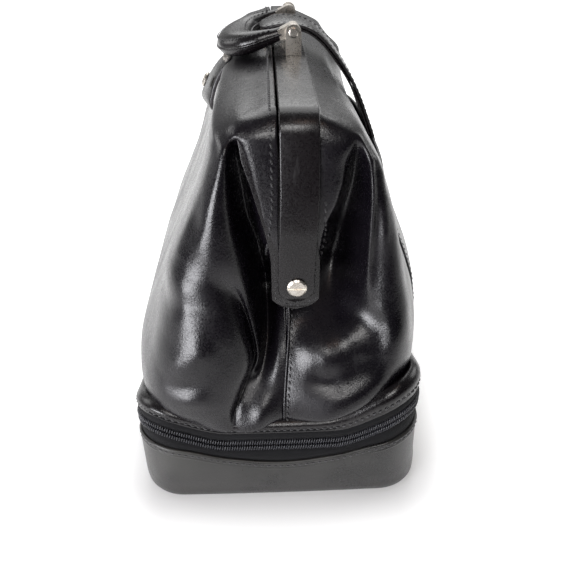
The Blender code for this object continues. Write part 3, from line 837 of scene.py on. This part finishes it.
def build_base_wall():
    """Stiffened leather wall: rounded foot, slightly slack face, turned top edge."""
    foot, _ = plan_loop(FOOT_X, FOOT_Y, CORNER, 0.0015, 0.0)
    rim, normals = plan_loop(RIM_X, RIM_Y, CORNER)
    # height and distance out of the face, from the foot up
    face = ((0.0000, -0.0042), (0.0002, -0.0026), (0.0010, -0.0010), (0.0030, -0.0002), (0.0080, 0.0004),
            (0.0160, 0.0008), (0.0240, 0.0010), (0.0320, 0.0010), (0.0380, 0.0006))
    # distance out and drop of the turned edge
    edge = ((0.0004, 0.0004), (-0.0006, 0.0), (-0.0018, 0.0002), (-0.0026, 0.0010))
    leans_below = 0.030
    sections = []
    for low, high, normal in zip(foot, rim, normals):
        top = rim_height(*high)
        section = []
        for height, out in face:
            if height > leans_below:
                height = min(height, 0.036) / 0.038 * (top - 0.001)
            share = min(height / leans_below, 1.0)
            place = low * (1 - share) + high * share
            slack = 0.0007 * noise.noise(Vector((place[0] * 22, place[1] * 22, height * 30)))
            place = place + normal * (out + slack * min(height / 0.01, 1.0))
            section.append((place[0], place[1], height))
        for out, down in edge:
            place = high + normal * out
            section.append((place[0], place[1], top - down))
        for height in (0.030, 0.012, 0.0004):
            share = min(height / leans_below, 1.0)
            place = low * (1 - share) + high * share - normal * 0.0026
            section.append((place[0], place[1], height))
        sections.append(section)
    made = sweep("base_leather_wall", sections, [BASE], closed=True)
    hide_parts("base_wall", "base_rim_band")
    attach(made, "base")


def strip_sections(places, normals, profile, bottom, top):
    """Sections of a band round the plan: profile is (out, height share) pairs from bottom to top."""
    sections = []
    for (x, y), normal in zip(places, normals):
        low = bottom(x, y)
        high = top(x, y)
        section = []
        for out, share in profile:
            section.append((x + normal[0] * out, y + normal[1] * out, low + (high - low) * share))
        sections.append(section)
    return sections


def above(height_of, rise):
    """The same height function, raised."""
    return lambda x, y: height_of(x, y) + rise


def build_rim_binding():
    """Folded leather binding with a raised lip along the top of the base."""
    places, normals = plan_loop(RIM_X, RIM_Y, CORNER)
    profile = ((0.0006, 0.0), (0.0009, 0.06), (0.0010, 0.24), (0.0004, 0.34), (0.0004, 0.56), (0.0012, 0.68),
               (0.0014, 0.84), (0.0009, 0.97), (0.0, 1.03), (-0.0008, 1.0), (-0.0010, 0.80), (-0.0004, 0.10))
    sections = strip_sections(places, normals, profile, above(rim_height, -0.0070), rim_height)
    made = sweep("base_rim_binding", sections, [BASE], closed=True)
    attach(made, "base")
    path = [(x + n[0] * 0.0006, y + n[1] * 0.0006, rim_height(x, y) - 0.0039)
            for (x, y), n in zip(places, normals)]
    stitch_row("base_rim_stitches", path + [path[0]], plan_normal, "base")


def plan_normal(place):
    """Outward level normal of the bag's plan near a place."""
    inner_x = max(abs(place.x) - (RIM_X - CORNER), 0.0)
    level = place.y - RIM_SHIFT
    inner_y = max(abs(level) - (RIM_Y - CORNER), 0.0)
    return Vector((math.copysign(inner_x, place.x), math.copysign(inner_y, level), 0.0)).normalized()


def zip_run(inset):
    """Open run of the zip: from one side of the back hinge round the bag to the other."""
    places, normals = plan_loop(RIM_X - inset, RIM_Y - inset, CORNER - inset, count=560)
    keep = (np.abs(places[:, 0]) > HINGE_HALF) | (places[:, 1] < 0)
    return places[keep], normals[keep]


def build_zip_tapes():
    """Woven tapes: one from the base's rim up to the teeth, one from the teeth up to the body."""
    places, normals = zip_run(0.0014)
    profile = ((0.0, 0.0), (0.0010, 0.5), (0.0, 1.0), (-0.0014, 1.0), (-0.0006, 0.5), (-0.0014, 0.0))
    for word, body, bottom, top in (
        ("lower", "base", above(rim_height, -0.0030), above(zip_height, -0.0028)),
        ("upper", "upper_body", above(zip_height, 0.0028), above(zip_height, 0.0125)),
    ):
        made = sweep("zip_tape_woven_" + word, strip_sections(places, normals, profile, bottom, top), [TAPE])
        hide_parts("zip_tape_" + word)
        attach(made, body)


def build_hinge():
    """Leather strip along the back, between the base and the upper body, baked in place."""
    low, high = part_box("back_hinge_strip")
    middle = (low[1] + high[1]) / 2
    heights = np.linspace(0.0400, 0.0740, 18)
    profile = [(-0.0006, z) for z in heights] + [(0.0006, z) for z in heights[::-1]]
    sections = [[(x, middle + out, z) for out, z in profile] for x in np.linspace(low[0], high[0], 40)]
    made = sweep("hinge_leather", sections, [TRIM])
    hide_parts("back_hinge_strip")
    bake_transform(made)


def build_teeth(word, low, high, body, shift):
    """Row of moulded nylon coil teeth: slanted bars with a rounded head each."""
    places, _ = zip_run(0.0006)
    path = [(x, y, zip_height(x, y)) for x, y in places]
    pitch = 1.65 * MM
    # height, distance out and size of each ring
    bar = ((low, 0.0000, 0.60), (low + (high - low) * 0.2, 0.0007, 1.0), ((low + high) / 2, 0.0011, 1.0),
           (low + (high - low) * 0.8, 0.0010, 1.0), (high, 0.0003, 0.7))
    points = []
    faces = []
    for place, along in resample(path, pitch)[:-1]:
        normal = plan_normal(place)
        place = place + along * pitch * shift
        rings = []
        for height, out, size in bar:
            middle = place + Vector((0, 0, height)) + normal * out + along * (height * 0.28)
            half = along * 0.40 * MM * size
            deep = normal * 0.9 * MM
            crown = normal * 0.25 * MM
            rings.append([middle - half, middle - half * 0.4 + crown, middle + half * 0.4 + crown,
                          middle + half, middle + half - deep, middle - half - deep])
        add_rings(points, faces, rings)
    made = new_object("zip_teeth_row_" + word, points, faces, [TEETH])
    outward(made)
    made.data.set_sharp_from_angle(angle=math.radians(55))
    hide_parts("zip_teeth_" + word)
    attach(made, body)


BAND_START = 0.0098


def band_top(x, y):
    """Top of the upper rim band, hidden under the bag's overhang."""
    return zip_height(x, y) + 0.0190 + 0.0070 * smooth(y, 0.020, 0.070)


def build_upper_rim():
    """Soft leather band between the zip and the body, with a padded top and one stitch row."""
    places, normals = plan_loop(RIM_X - 0.0012, RIM_Y - 0.0004, CORNER)
    profile = ((-0.0016, -0.02), (-0.0002, 0.0), (0.0003, 0.08), (-0.0002, 0.22), (-0.0002, 0.34),
               (0.0006, 0.50), (-0.0002, 0.72), (-0.0030, 0.94), (-0.0062, 1.0), (-0.0080, 0.98),
               (-0.0046, 0.6), (-0.0030, 0.2))
    sections = strip_sections(places, normals, profile, above(zip_height, BAND_START), band_top)
    made = sweep("upper_rim_leather", sections, [TRIM], closed=True)
    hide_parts("upper_rim_band")
    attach(made, "upper_body")
    path = []
    for x, y in places:
        bottom = zip_height(x, y) + BAND_START
        path.append((x, y, bottom + 0.28 * (band_top(x, y) - bottom)))
    stitch_row("upper_rim_stitches", path + [path[0]], plan_normal, "upper_body")


# ---------------------------------------------------------------- frame bands


# The frame's legs lean in by this much before the bend to the ridge.
LEG_LEAN = 0.0075


def u_path(top_z, leg_x, foot_z, bend):
    """Outer line of a frame half in XZ: up the near leg, along the ridge and down the far leg."""
    shoulder_x = leg_x - LEG_LEAN
    right = [(leg_x, foot_z + share * (0.205 - foot_z)) for share in np.linspace(0, 1, 16) ** 1.3]
    right += [(leg_x - LEG_LEAN * 0.35, 0.227), (leg_x - LEG_LEAN * 0.68, 0.2440)]
    for step in range(13):
        angle = math.radians(6 + 84 * step / 12)
        right.append((shoulder_x - bend + bend * math.cos(angle), top_z - bend + bend * math.sin(angle)))
    right += [(0.150, top_z), (0.100, top_z), (0.050, top_z)]
    return right + [(0.0, top_z)] + [(-x, z) for x, z in right[::-1]]


def path_normals(path):
    """Unit normals to the left of a 2-D path."""
    normals = []
    for index in range(len(path)):
        before = Vector(path[max(index - 1, 0)])
        after = Vector(path[min(index + 1, len(path) - 1)])
        along = (after - before).normalized()
        normals.append((-along.y, along.x))
    return normals


def round_foot(foot_z, half, z, radius):
    """Half width near the foot of a leg, which ends in a shallow arc with tight corners."""
    rise = max(z - foot_z, 0.0)
    return min(half, math.sqrt(2 * radius * rise) + 0.0004)


def build_band(name, path, middle_of, half_of, thickness, tilt=0.0, corner=0.0009):
    """Leather band along a frame half, with rounded and slightly crowned section."""
    sections = []
    for (x, z), normal in zip(path, path_normals(path)):
        half = half_of(z)
        section = []
        for across, depth in rounded_section(half, thickness, corner):
            crown = 0.00060 * (1 - (across / half) ** 2) if depth > -thickness / 2 else 0.0
            out = -(depth + crown)
            lift = tilt * across * max(-normal[1] - 0.4, 0.0) / 0.6
            section.append((x + normal[0] * out, middle_of(z) + across, z + normal[1] * out + lift))
        sections.append(section)
    made = sweep(name, sections, [TRIM])
    paint_edges(made)
    return made


def back_middle(z):
    """Where across the bag the back band's middle runs."""
    return 0.0110 + 0.0022 * smooth(z, 0.165, 0.230)


def front_middle(z):
    """Where across the bag the front band's middle runs: it leans out from under the back band."""
    return 0.0107 - 0.0210 * smooth(z, 0.180, 0.258)


def front_half(z):
    """Half width of the front band, which widens to a patch at its foot."""
    return 0.0150 - 0.0040 * smooth(z, 0.190, 0.232)


def end_normal(place):
    """Outward normal of the nearer end."""
    return Vector((math.copysign(1.0, place.x), 0.0, 0.0))


def build_bands():
    """Back band over the front band's legs, and the stitches round each patch."""
    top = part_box("back_band")[1][2]
    back = build_band("back_frame_leather", u_path(top, 0.1905, 0.1550, 0.0150), back_middle,
                      lambda z: round_foot(0.1550, 0.0113, z, 0.0085), 0.0026)
    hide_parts("back_band")
    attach(back, "back_frame")
    front = build_band("front_frame_leather", u_path(top - 0.0042, 0.1874, 0.1480, 0.0125), front_middle,
                       lambda z: round_foot(0.1480, front_half(z), z, 0.0170), 0.0015, 0.27, 0.0006)
    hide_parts("front_band")
    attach(front, "front_frame")
    inset = 0.0021
    half = front_half(0.15) - inset
    # share of the half width and height, up one side of the patch
    outline = [(0.0, 0.1504), (0.45, 0.1513), (0.90, 0.1545)]
    outline += [(1.0, z) for z in np.linspace(0.1570, 0.1860, 8)]
    outline = [(-share, z) for share, z in outline[:0:-1]] + outline
    for side_name, side in SIDES:
        path = [(side * 0.18725, front_middle(0.15) + share * half, z) for share, z in outline]
        stitch_row("patch_stitches_" + side_name, path, end_normal,
                   "front_frame", 3.9 * MM, 3.0 * MM, 0.36 * MM, 0.08 * MM)


def seam_offset(z):
    """Where the end seam runs: it drifts a little towards the back as it rises."""
    return 0.0015 + 0.0043 * smooth(z, 0.075, 0.140)


def mouth_offset(z):
    """Where the stitches beside the mouth run."""
    return -0.0066 + 0.0046 * smooth(z, 0.178, 0.224)


def back_leg_offset(z):
    """Where the stitches behind the back band run."""
    return 0.0268 + 0.0020 * smooth(z, 0.18, 0.20)


def up_the_end(tree, side, offset_of, aside, heights):
    """Places and normals on the leather of one end, along a line that offset_of gives."""
    line = [Vector((side * 0.2, offset_of(z) + aside, z)) for z in heights]
    return project(tree, line, Vector((-side, 0.0, 0.0)))


def build_seams(front_tree, back_tree):
    """Lapped end seams and the stitch rows beside the mouth and the frame."""
    for side_name, side in SIDES:
        sections = []
        for hit, normal in up_the_end(back_tree, side, seam_offset, 0.0009, np.linspace(0.0715, 0.147, 30)):
            sections.append([hit + normal * (0.0010 * s + 0.0001) + Vector((0, 0.0011 * c, 0))
                             for c, s in round_steps(8)])
        roll = sweep("end_seam_roll_" + side_name, sections, [BODY])
        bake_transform(roll)
        for word, tree, offset_of, aside, heights, bend in (
            ("end_seam", back_tree, seam_offset, 0.0036, np.linspace(0.0730, 0.1465, 40), BACK_BEND),
            ("mouth_leg", front_tree, mouth_offset, 0.0, np.linspace(0.176, 0.2640, 60), FRONT_BEND),
            ("back_leg", back_tree, back_leg_offset, 0.0, np.linspace(0.182, 0.222, 30), BACK_BEND),
        ):
            path = [hit for hit, _ in up_the_end(tree, side, offset_of, aside, heights)]
            stitch_row(word + "_stitches_" + side_name, path, nearest_normal(tree), bend)
    line = [Vector((x, -0.0024, 0.29)) for x in np.linspace(0.176, -0.176, 160)]
    path = [hit for hit, _ in project(front_tree, line, Vector((0.0, 0.0, -1.0)))]
    stitch_row("mouth_ridge_stitches", path, nearest_normal(front_tree), "front_frame")


# ---------------------------------------------------------------- handle

HANDLE_ANGLE = math.radians(197.0)
LUG_PIN = Vector((0.0, 0.0155, 0.2872))
HANDLE_OUT = Vector((0.0, math.cos(HANDLE_ANGLE), math.sin(HANDLE_ANGLE)))
HANDLE_UP = Vector((0.0, math.sin(HANDLE_ANGLE), -math.cos(HANDLE_ANGLE)))


def handle_point(x, reach, lift):
    """Place on the lying handle: reach out from the lug pins and lift above its middle plane."""
    return Vector((x, LUG_PIN.y, LUG_PIN.z)) + HANDLE_OUT * reach + HANDLE_UP * lift


def handle_stations():
    """Middle line of the padded D: x, reach from the pins, half width, half thickness."""
    half = [
        (0.0387, 0.0085, 0.0050, 0.0042), (0.0386, 0.0130, 0.0054, 0.0046), (0.0382, 0.0190, 0.0064, 0.0055),
        (0.0362, 0.0270, 0.0084, 0.0066), (0.0312, 0.0355, 0.0108, 0.0078), (0.0213, 0.0420, 0.0130, 0.0085),
        (0.0105, 0.0447, 0.0140, 0.0087),
    ]
    whole = half + [(0.0, 0.0454, 0.0144, 0.0087)] + [(-x, r, w, t) for x, r, w, t in half[::-1]]
    return catmull(whole, 7)


def build_handle():
    """Padded D handle: crowned leather over a core, welted along both edges, with stitch rows."""
    stations = handle_stations()
    normals = path_normals([(s[0], s[1]) for s in stations])
    sections = []
    edges = {1: [], -1: []}
    rows = {1: [], -1: []}
    for (x, reach, width, thick), normal in zip(stations, normals):
        section = []
        for step in range(28):
            angle = 2 * math.pi * step / 28
            across = math.copysign(abs(math.cos(angle)) ** 0.85, math.cos(angle)) * (width - 0.0006)
            lift = math.copysign(abs(math.sin(angle)) ** 0.95, math.sin(angle)) * thick
            pucker = 0.00012 * noise.noise(Vector((x * 160, reach * 160, angle)))
            lift += math.copysign(pucker, lift) if abs(lift) > 1e-5 else 0.0
            section.append(handle_point(x + normal[0] * across, reach + normal[1] * across, lift))
        sections.append(section)
        for side in (1, -1):
            edge = side * (width - 0.0008)
            edges[side].append(handle_point(x + normal[0] * edge, reach + normal[1] * edge, 0.0))
            inner = side * max(width - 0.0032, width * 0.45)
            top = thick * (1 - (abs(inner) / width) ** 2.35) ** 0.5 + 0.0001
            rows[side].append(handle_point(x + normal[0] * inner, reach + normal[1] * inner, top))
    grip = sweep("handle_padded_grip", sections, [TRIM])
    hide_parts("handle_top_cover", "handle_bottom_cover")
    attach(grip, "handle")
    for side, word in ((1, "outer"), (-1, "inner")):
        welt = tube("handle_welt_" + word, edges[side], 0.0011, HANDLE_UP, [TRIM])
        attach(welt, "handle")
        stitch_row("handle_stitches_" + word, rows[side][10:-10], lambda place: HANDLE_UP, "handle",
                   3.6 * MM, 2.7 * MM, 0.40 * MM, 0.20 * MM)


# ---------------------------------------------------------------- strap, tab, pocket

# (y, z) lines of the strap and the tab, on their outer faces
STRAP_PATH = (
    (0.0868, 0.1850), (0.0830, 0.2010), (0.0772, 0.2165), (0.0722, 0.2290), (0.0680, 0.2382),
    (0.0620, 0.2492), (0.0525, 0.2630), (0.0420, 0.2755), (0.0300, 0.2845), (0.0160, 0.2885),
    (0.0030, 0.2878), (-0.0085, 0.2845),
)
TAB_PATH = (
    (-0.0300, 0.2628), (-0.0346, 0.2612), (-0.0405, 0.2556), (-0.0455, 0.2490), (-0.0494, 0.2420),
    (-0.0524, 0.2352), (-0.0543, 0.2290), (-0.0535, 0.2240), (-0.0505, 0.2205),
)
STRAP_HALF = 0.0215
TAB_HALF = 0.0175
TAB_TWIST = 0.34


def strap_width(share, half, start_round, end_round):
    """Half width along a strap with rounded ends, share from 0 to 1."""
    width = half
    if share < start_round:
        width *= math.sqrt(max(1 - (1 - share / start_round) ** 2, 0.0)) * 0.85 + 0.15
    if share > 1 - end_round:
        width *= math.sqrt(max(1 - (1 - (1 - share) / end_round) ** 2, 0.0)) * 0.75 + 0.25
    return width


def strap_line(path):
    """Smooth places and normals along a strap's (y, z) path, which keeps the bag on its left."""
    dense = catmull(path, 8)
    return dense, path_normals([tuple(p) for p in dense])


def strap_piece(name, path, half, depth, thickness, rounds, corner, twist=0.0):
    """One layer of a strap; twist turns its face to the near end."""
    dense, normals = strap_line(path)
    sections = []
    for index, ((y, z), normal) in enumerate(zip(dense, normals)):
        share = index / (len(dense) - 1)
        width = strap_width(share, half, *rounds)
        section = []
        for across, down in rounded_section(width, thickness, corner):
            sag = 0.0004 * (across / half) ** 2
            sink = depth - down + sag
            section.append((across, y + normal[0] * sink + twist * across * share, z + normal[1] * sink))
        sections.append(section)
    made = sweep(name, sections, [TRIM])
    paint_edges(made)
    return made


def strap_rows(path, half, rounds, inset, lift):
    """Stitch paths near both edges of a strap."""
    dense, normals = strap_line(path)
    rows = {1: [], -1: []}
    for index, ((y, z), normal) in enumerate(zip(dense, normals)):
        share = index / (len(dense) - 1)
        if 0.03 <= share <= 0.97:
            width = strap_width(share, half, *rounds) - inset
            for side in (1, -1):
                rows[side].append(Vector((side * width, y - normal[0] * lift, z - normal[1] * lift)))
    return rows


def yz_normal(path):
    """Function that gives a strap's outward normal nearest to a place."""
    dense, normals = strap_line(path)

    def normal_of(place):
        gaps = [(place.y - y) ** 2 + (place.z - z) ** 2 for y, z in dense]
        normal = normals[int(np.argmin(gaps))]
        return Vector((0.0, -normal[0], -normal[1]))
    return normal_of


def build_strap():
    """Closure strap of two layers, anchored behind the ridge and stitched along both edges."""
    hinge = ("back_frame", "closure_strap", (0.0, 0.0705, 0.2315), (0.0, 0.0640, 0.2455))
    rounds = (0.07, 0.09)
    top = strap_piece("closure_strap_leather", STRAP_PATH, STRAP_HALF, 0.0, 0.0026, rounds, 0.0011)
    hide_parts("closure_strap", "strap_anchor")
    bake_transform(top)
    under = strap_piece("closure_strap_backing", STRAP_PATH[1:-1], STRAP_HALF - 0.0009, 0.0028, 0.0016,
                        (0.02, 0.02), 0.0006)
    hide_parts("strap_lining")
    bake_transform(under)
    rows = strap_rows(STRAP_PATH, STRAP_HALF, rounds, 0.0046, -0.00065)
    for word, side in SIDES:
        stitch_row("strap_stitches_" + word, rows[side], yz_normal(STRAP_PATH), hinge, radius=0.38 * MM)


def build_tab():
    """Front tab with a pointed end."""
    rounds = (0.04, 0.26)
    tab = strap_piece("front_tab_leather", TAB_PATH, TAB_HALF, 0.0, 0.0034, rounds, 0.0012, TAB_TWIST)
    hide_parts("front_tab")
    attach(tab, "front_frame")


# Height and distance out of the pocket's face where it hangs free
POCKET_DEPTHS = ((0.0900, 0.1135), (0.1050, 0.1129), (0.1250, 0.1085), (0.1400, 0.1035), (0.1600, 0.0965),
                 (0.1800, 0.0905), (0.2000, 0.0860))


def pocket_surface(back_tree):
    """(rows, columns, 3) face of the pocket, standing off more towards its mouth."""
    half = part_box("back_pocket")[1][0]
    heights = np.linspace(0.0885, 0.2000, 40)
    levels = np.interp(heights, *zip(*POCKET_DEPTHS))
    cloud = []
    for z, level in zip(heights, levels):
        row = []
        for x in np.linspace(-half, half, 61):
            hit, _, _, _ = back_tree.ray_cast(Vector((x, 0.2, z)), Vector((0, -1, 0)))
            base = hit.y if hit is not None else level - 0.004
            share = 1 - abs(x / half) ** 3.0
            rise = min((z - heights[0]) / 0.012, 1.0)
            stand = min(max(level - base, 0.0012), 0.0030) * share * rise
            mouth = 0.0035 * smooth(z, 0.175, 0.200) * share
            ripple = 0.0007 * noise.noise(Vector((x * 18, z * 20, 3.0)))
            drop = 0.0040 * (1 - share) * smooth(z, 0.18, 0.2)
            row.append((x, base + 0.0013 + stand + mouth + ripple * share, z - drop))
        cloud.append(row)
    return np.array(cloud)


def build_pocket(back_tree):
    """Slip pocket on the back: it stands off at its mouth, whose edge is folded and stitched."""
    cloud = pocket_surface(back_tree)
    made = sheet("back_pocket_leather", cloud, [BODY, LINING])
    made.data.flip_normals()
    surface = tree_of(made)
    thicken(made, 0.0014, -1)
    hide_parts("back_pocket")
    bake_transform(made)
    edge = [Vector(p) + Vector((0, -0.0002, 0.0)) for p in cloud[-1]]
    fold = tube("pocket_mouth_fold", edge, 0.0014, Vector((0, 0, 1)), [BODY])
    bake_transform(fold)
    paths = (("far", cloud[2:-1, 2]), ("near", cloud[2:-1, -3]),
             ("bottom", cloud[2, 2:-2]), ("mouth", cloud[-4, 1:-1]))
    for word, path in paths:
        stitch_row("pocket_stitches_" + word, path, nearest_normal(surface), BACK_BEND,
                   radius=0.36 * MM, lift=0.0)


def finish_hardware():
    """Rounded edges on the CAD metalwork and zip pulls."""
    widths = {"tab_stud": 0.0003, "lock_case": 0.0006, "lock_catch": 0.0003, "lock_tongue": 0.0005}
    for pair, words, width in (
        ("hinge_rivet_", ("near", "far"), 0.0003), ("handle_lug_", ("near", "far"), 0.0008),
        ("handle_screw_", ("near", "far"), 0.0003), ("handle_end_", ("near", "far"), 0.0007),
        ("zip_slider_", ("left", "right"), 0.0008), ("zip_pull_", ("left", "right"), 0.0007),
    ):
        for word in words:
            widths[pair + word] = width
    for name, width in widths.items():
        bevel(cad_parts[name], width)


# ---------------------------------------------------------------- studio


def area_light(name, place, target, size, power, color=(1.0, 1.0, 1.0)):
    """Rectangular light at a place, turned to a target."""
    data = bpy.data.lights.new(name, "AREA")
    data.shape = "RECTANGLE"
    data.size, data.size_y = size
    data.energy = power
    data.color = color
    lamp = bpy.data.objects.new(name, data)
    bpy.context.scene.collection.objects.link(lamp)
    lamp.location = place
    lamp.rotation_euler = (Vector(target) - Vector(place)).to_track_quat("-Z", "Y").to_euler()


def studio_world():
    """Room light: bright behind and above the far end, dim behind the camera."""
    world = bpy.data.worlds.new("studio_world")
    bpy.context.scene.world = world
    world.use_nodes = True
    tree = world.node_tree
    place = tree.nodes.new("ShaderNodeTexCoord")
    split = tree.nodes.new("ShaderNodeSeparateXYZ")
    tree.links.new(place.outputs["Generated"], split.inputs[0])
    fade = tree.nodes.new("ShaderNodeMapRange")
    fade.interpolation_type = "SMOOTHSTEP"
    for socket, value in (("From Min", 0.60), ("From Max", -0.70), ("To Min", 0.045), ("To Max", 0.34)):
        fade.inputs[socket].default_value = value
    tree.links.new(split.outputs["X"], fade.inputs["Value"])
    background = tree.nodes["Background"]
    background.inputs["Color"].default_value = (1.0, 1.0, 1.0, 1.0)
    tree.links.new(fade.outputs[0], background.inputs["Strength"])


def build_floor():
    """Pale table top with painted light: it glows, though it is no lamp, as a lit white sweep does.

    The glow fades close to the bag, a painted contact shadow, and beside it, in front of its near end and out
    of the camera's sight; far behind the bag it grows to twice as bright."""
    floor = new_object("studio_floor", [(-6, -6, 0), (6, -6, 0), (6, 6, 0), (-6, 6, 0)], [(0, 1, 2, 3)], [])
    n = Nodes("studio_floor_white")
    split = n.node("ShaderNodeSeparateXYZ", {0: n.place})
    x = split.outputs["X"]
    foot = n.vector("SUBTRACT", n.vector("ABSOLUTE", n.place), (0.19, 0.08, 0.0))
    past = n.vector("MAXIMUM", foot)
    away = n.node("ShaderNodeVectorMath", {0: past}, operation="LENGTH").outputs["Value"]
    # painted contact shadow: the glow fades to nothing close to the bag's foot
    near = n.fade(away, 0.012, 0.060, 0.0, 0.50)
    reach = n.math("SUBTRACT", 0.34, n.math("MULTIPLY", x, 0.47))
    spill = n.math("SUBTRACT", n.math("ABSOLUTE", split.outputs["Y"], 0.0), reach)
    inside = n.fade(spill, 0.22, 0.0, 0.0, 1.0)
    before = n.fade(x, 0.38, 0.28, 0.0, 1.0)
    # painted light: the glow grows to twice as bright far behind the bag
    far = n.fade(x, -0.4, -1.8, 1.0, 2.0)
    # painted light: emission of a floor that is no lamp
    glow = n.math("MULTIPLY", n.math("MULTIPLY", near, inside), n.math("MULTIPLY", before, far))
    # painted shade: the floor's colour darkens from pale to near black past the near end, and the glossy
    # leather reflects it
    shade = n.fade(x, 0.45, 0.95, 0.92, 0.07)
    n.finish(color=n.ramp(shade, [(0.0, (0.0, 0.0, 0.0)), (1.0, (1.0, 1.0, 1.0))]), rough=0.9, specular=0.1)
    n.shader.inputs["Emission Color"].default_value = (1.0, 1.0, 1.0, 1.0)
    n.tree.links.new(glow, n.shader.inputs["Emission Strength"])
    floor.data.materials.append(n.material)


def build_studio():
    """Floor, room and lights: soft boxes behind and beside the bag, windows at its near end."""
    build_floor()
    studio_world()
    area_light("rear_softbox", (-0.75, 0.05, 1.15), (-0.05, 0.0, 0.12), (1.1, 1.5), 11.0)
    area_light("left_softbox", (-0.40, -1.20, 0.70), (0.05, 0.0, 0.10), (0.8, 0.6), 4.0)
    area_light("right_softbox", (-0.40, 1.20, 0.70), (0.05, 0.0, 0.10), (0.8, 0.6), 4.0)
    area_light("room_window", (0.98, -0.88, 0.25), (0.20, -0.03, 0.13), (0.74, 0.52), 18.0, (0.96, 0.96, 1.0))
    area_light("high_window", (1.02, -0.05, 0.86), (0.20, 0.0, 0.13), (0.50, 0.32), 4.4, (1.0, 0.98, 0.97))
    area_light("warm_lamp", (0.62, 0.10, 0.95), (0.17, 0.0, 0.24), (0.16, 0.16), 0.25, (1.0, 0.72, 0.60))


def build_camera():
    """Camera above the near end, looking down along the bag."""
    data = bpy.data.cameras.new("main_camera")
    data.sensor_width = 36.0
    data.lens = 39.02
    data.clip_start = 0.01
    camera = bpy.data.objects.new("main_camera", data)
    bpy.context.scene.collection.objects.link(camera)
    pitch = math.radians(32.87)
    yaw = math.radians(2.04)
    roll = math.radians(-0.27)
    ahead = Vector((-math.cos(pitch) * math.cos(yaw), math.cos(pitch) * math.sin(yaw), -math.sin(pitch)))
    right = ahead.cross(Vector((0, 0, 1))).normalized()
    up = right.cross(ahead)
    turned_right = right * math.cos(roll) + up * math.sin(roll)
    turned_up = up * math.cos(roll) - right * math.sin(roll)
    turn = Matrix((turned_right, turned_up, -ahead)).transposed().to_4x4()
    camera.matrix_world = Matrix.Translation((0.5154, -0.0044, 0.3743)) @ turn
    bpy.context.scene.camera = camera
    bpy.context.scene.view_settings.view_transform = "Standard"


build_camera()
paint_cad()
finish_hardware()
front_surface = build_skin("front_leather_skin", FRONT_ROWS, -1, FRONT_CREASES, 3.0,
                           ("front_panel", "front_shoulder", "upper_lining"))
back_surface = build_skin("back_leather_skin", BACK_ROWS, 1, BACK_CREASES, 11.0,
                          ("back_panel", "back_shoulder"))
build_seam_tongues()
build_base_wall()
build_rim_binding()
build_zip_tapes()
build_teeth("lower", -0.0046, -0.0003, "base", 0.0)
build_teeth("upper", 0.0003, 0.0046, "upper_body", 0.5)
build_hinge()
build_upper_rim()
build_bands()
build_seams(front_surface, back_surface)
build_handle()
build_strap()
build_tab()
build_pocket(back_surface)
build_studio()
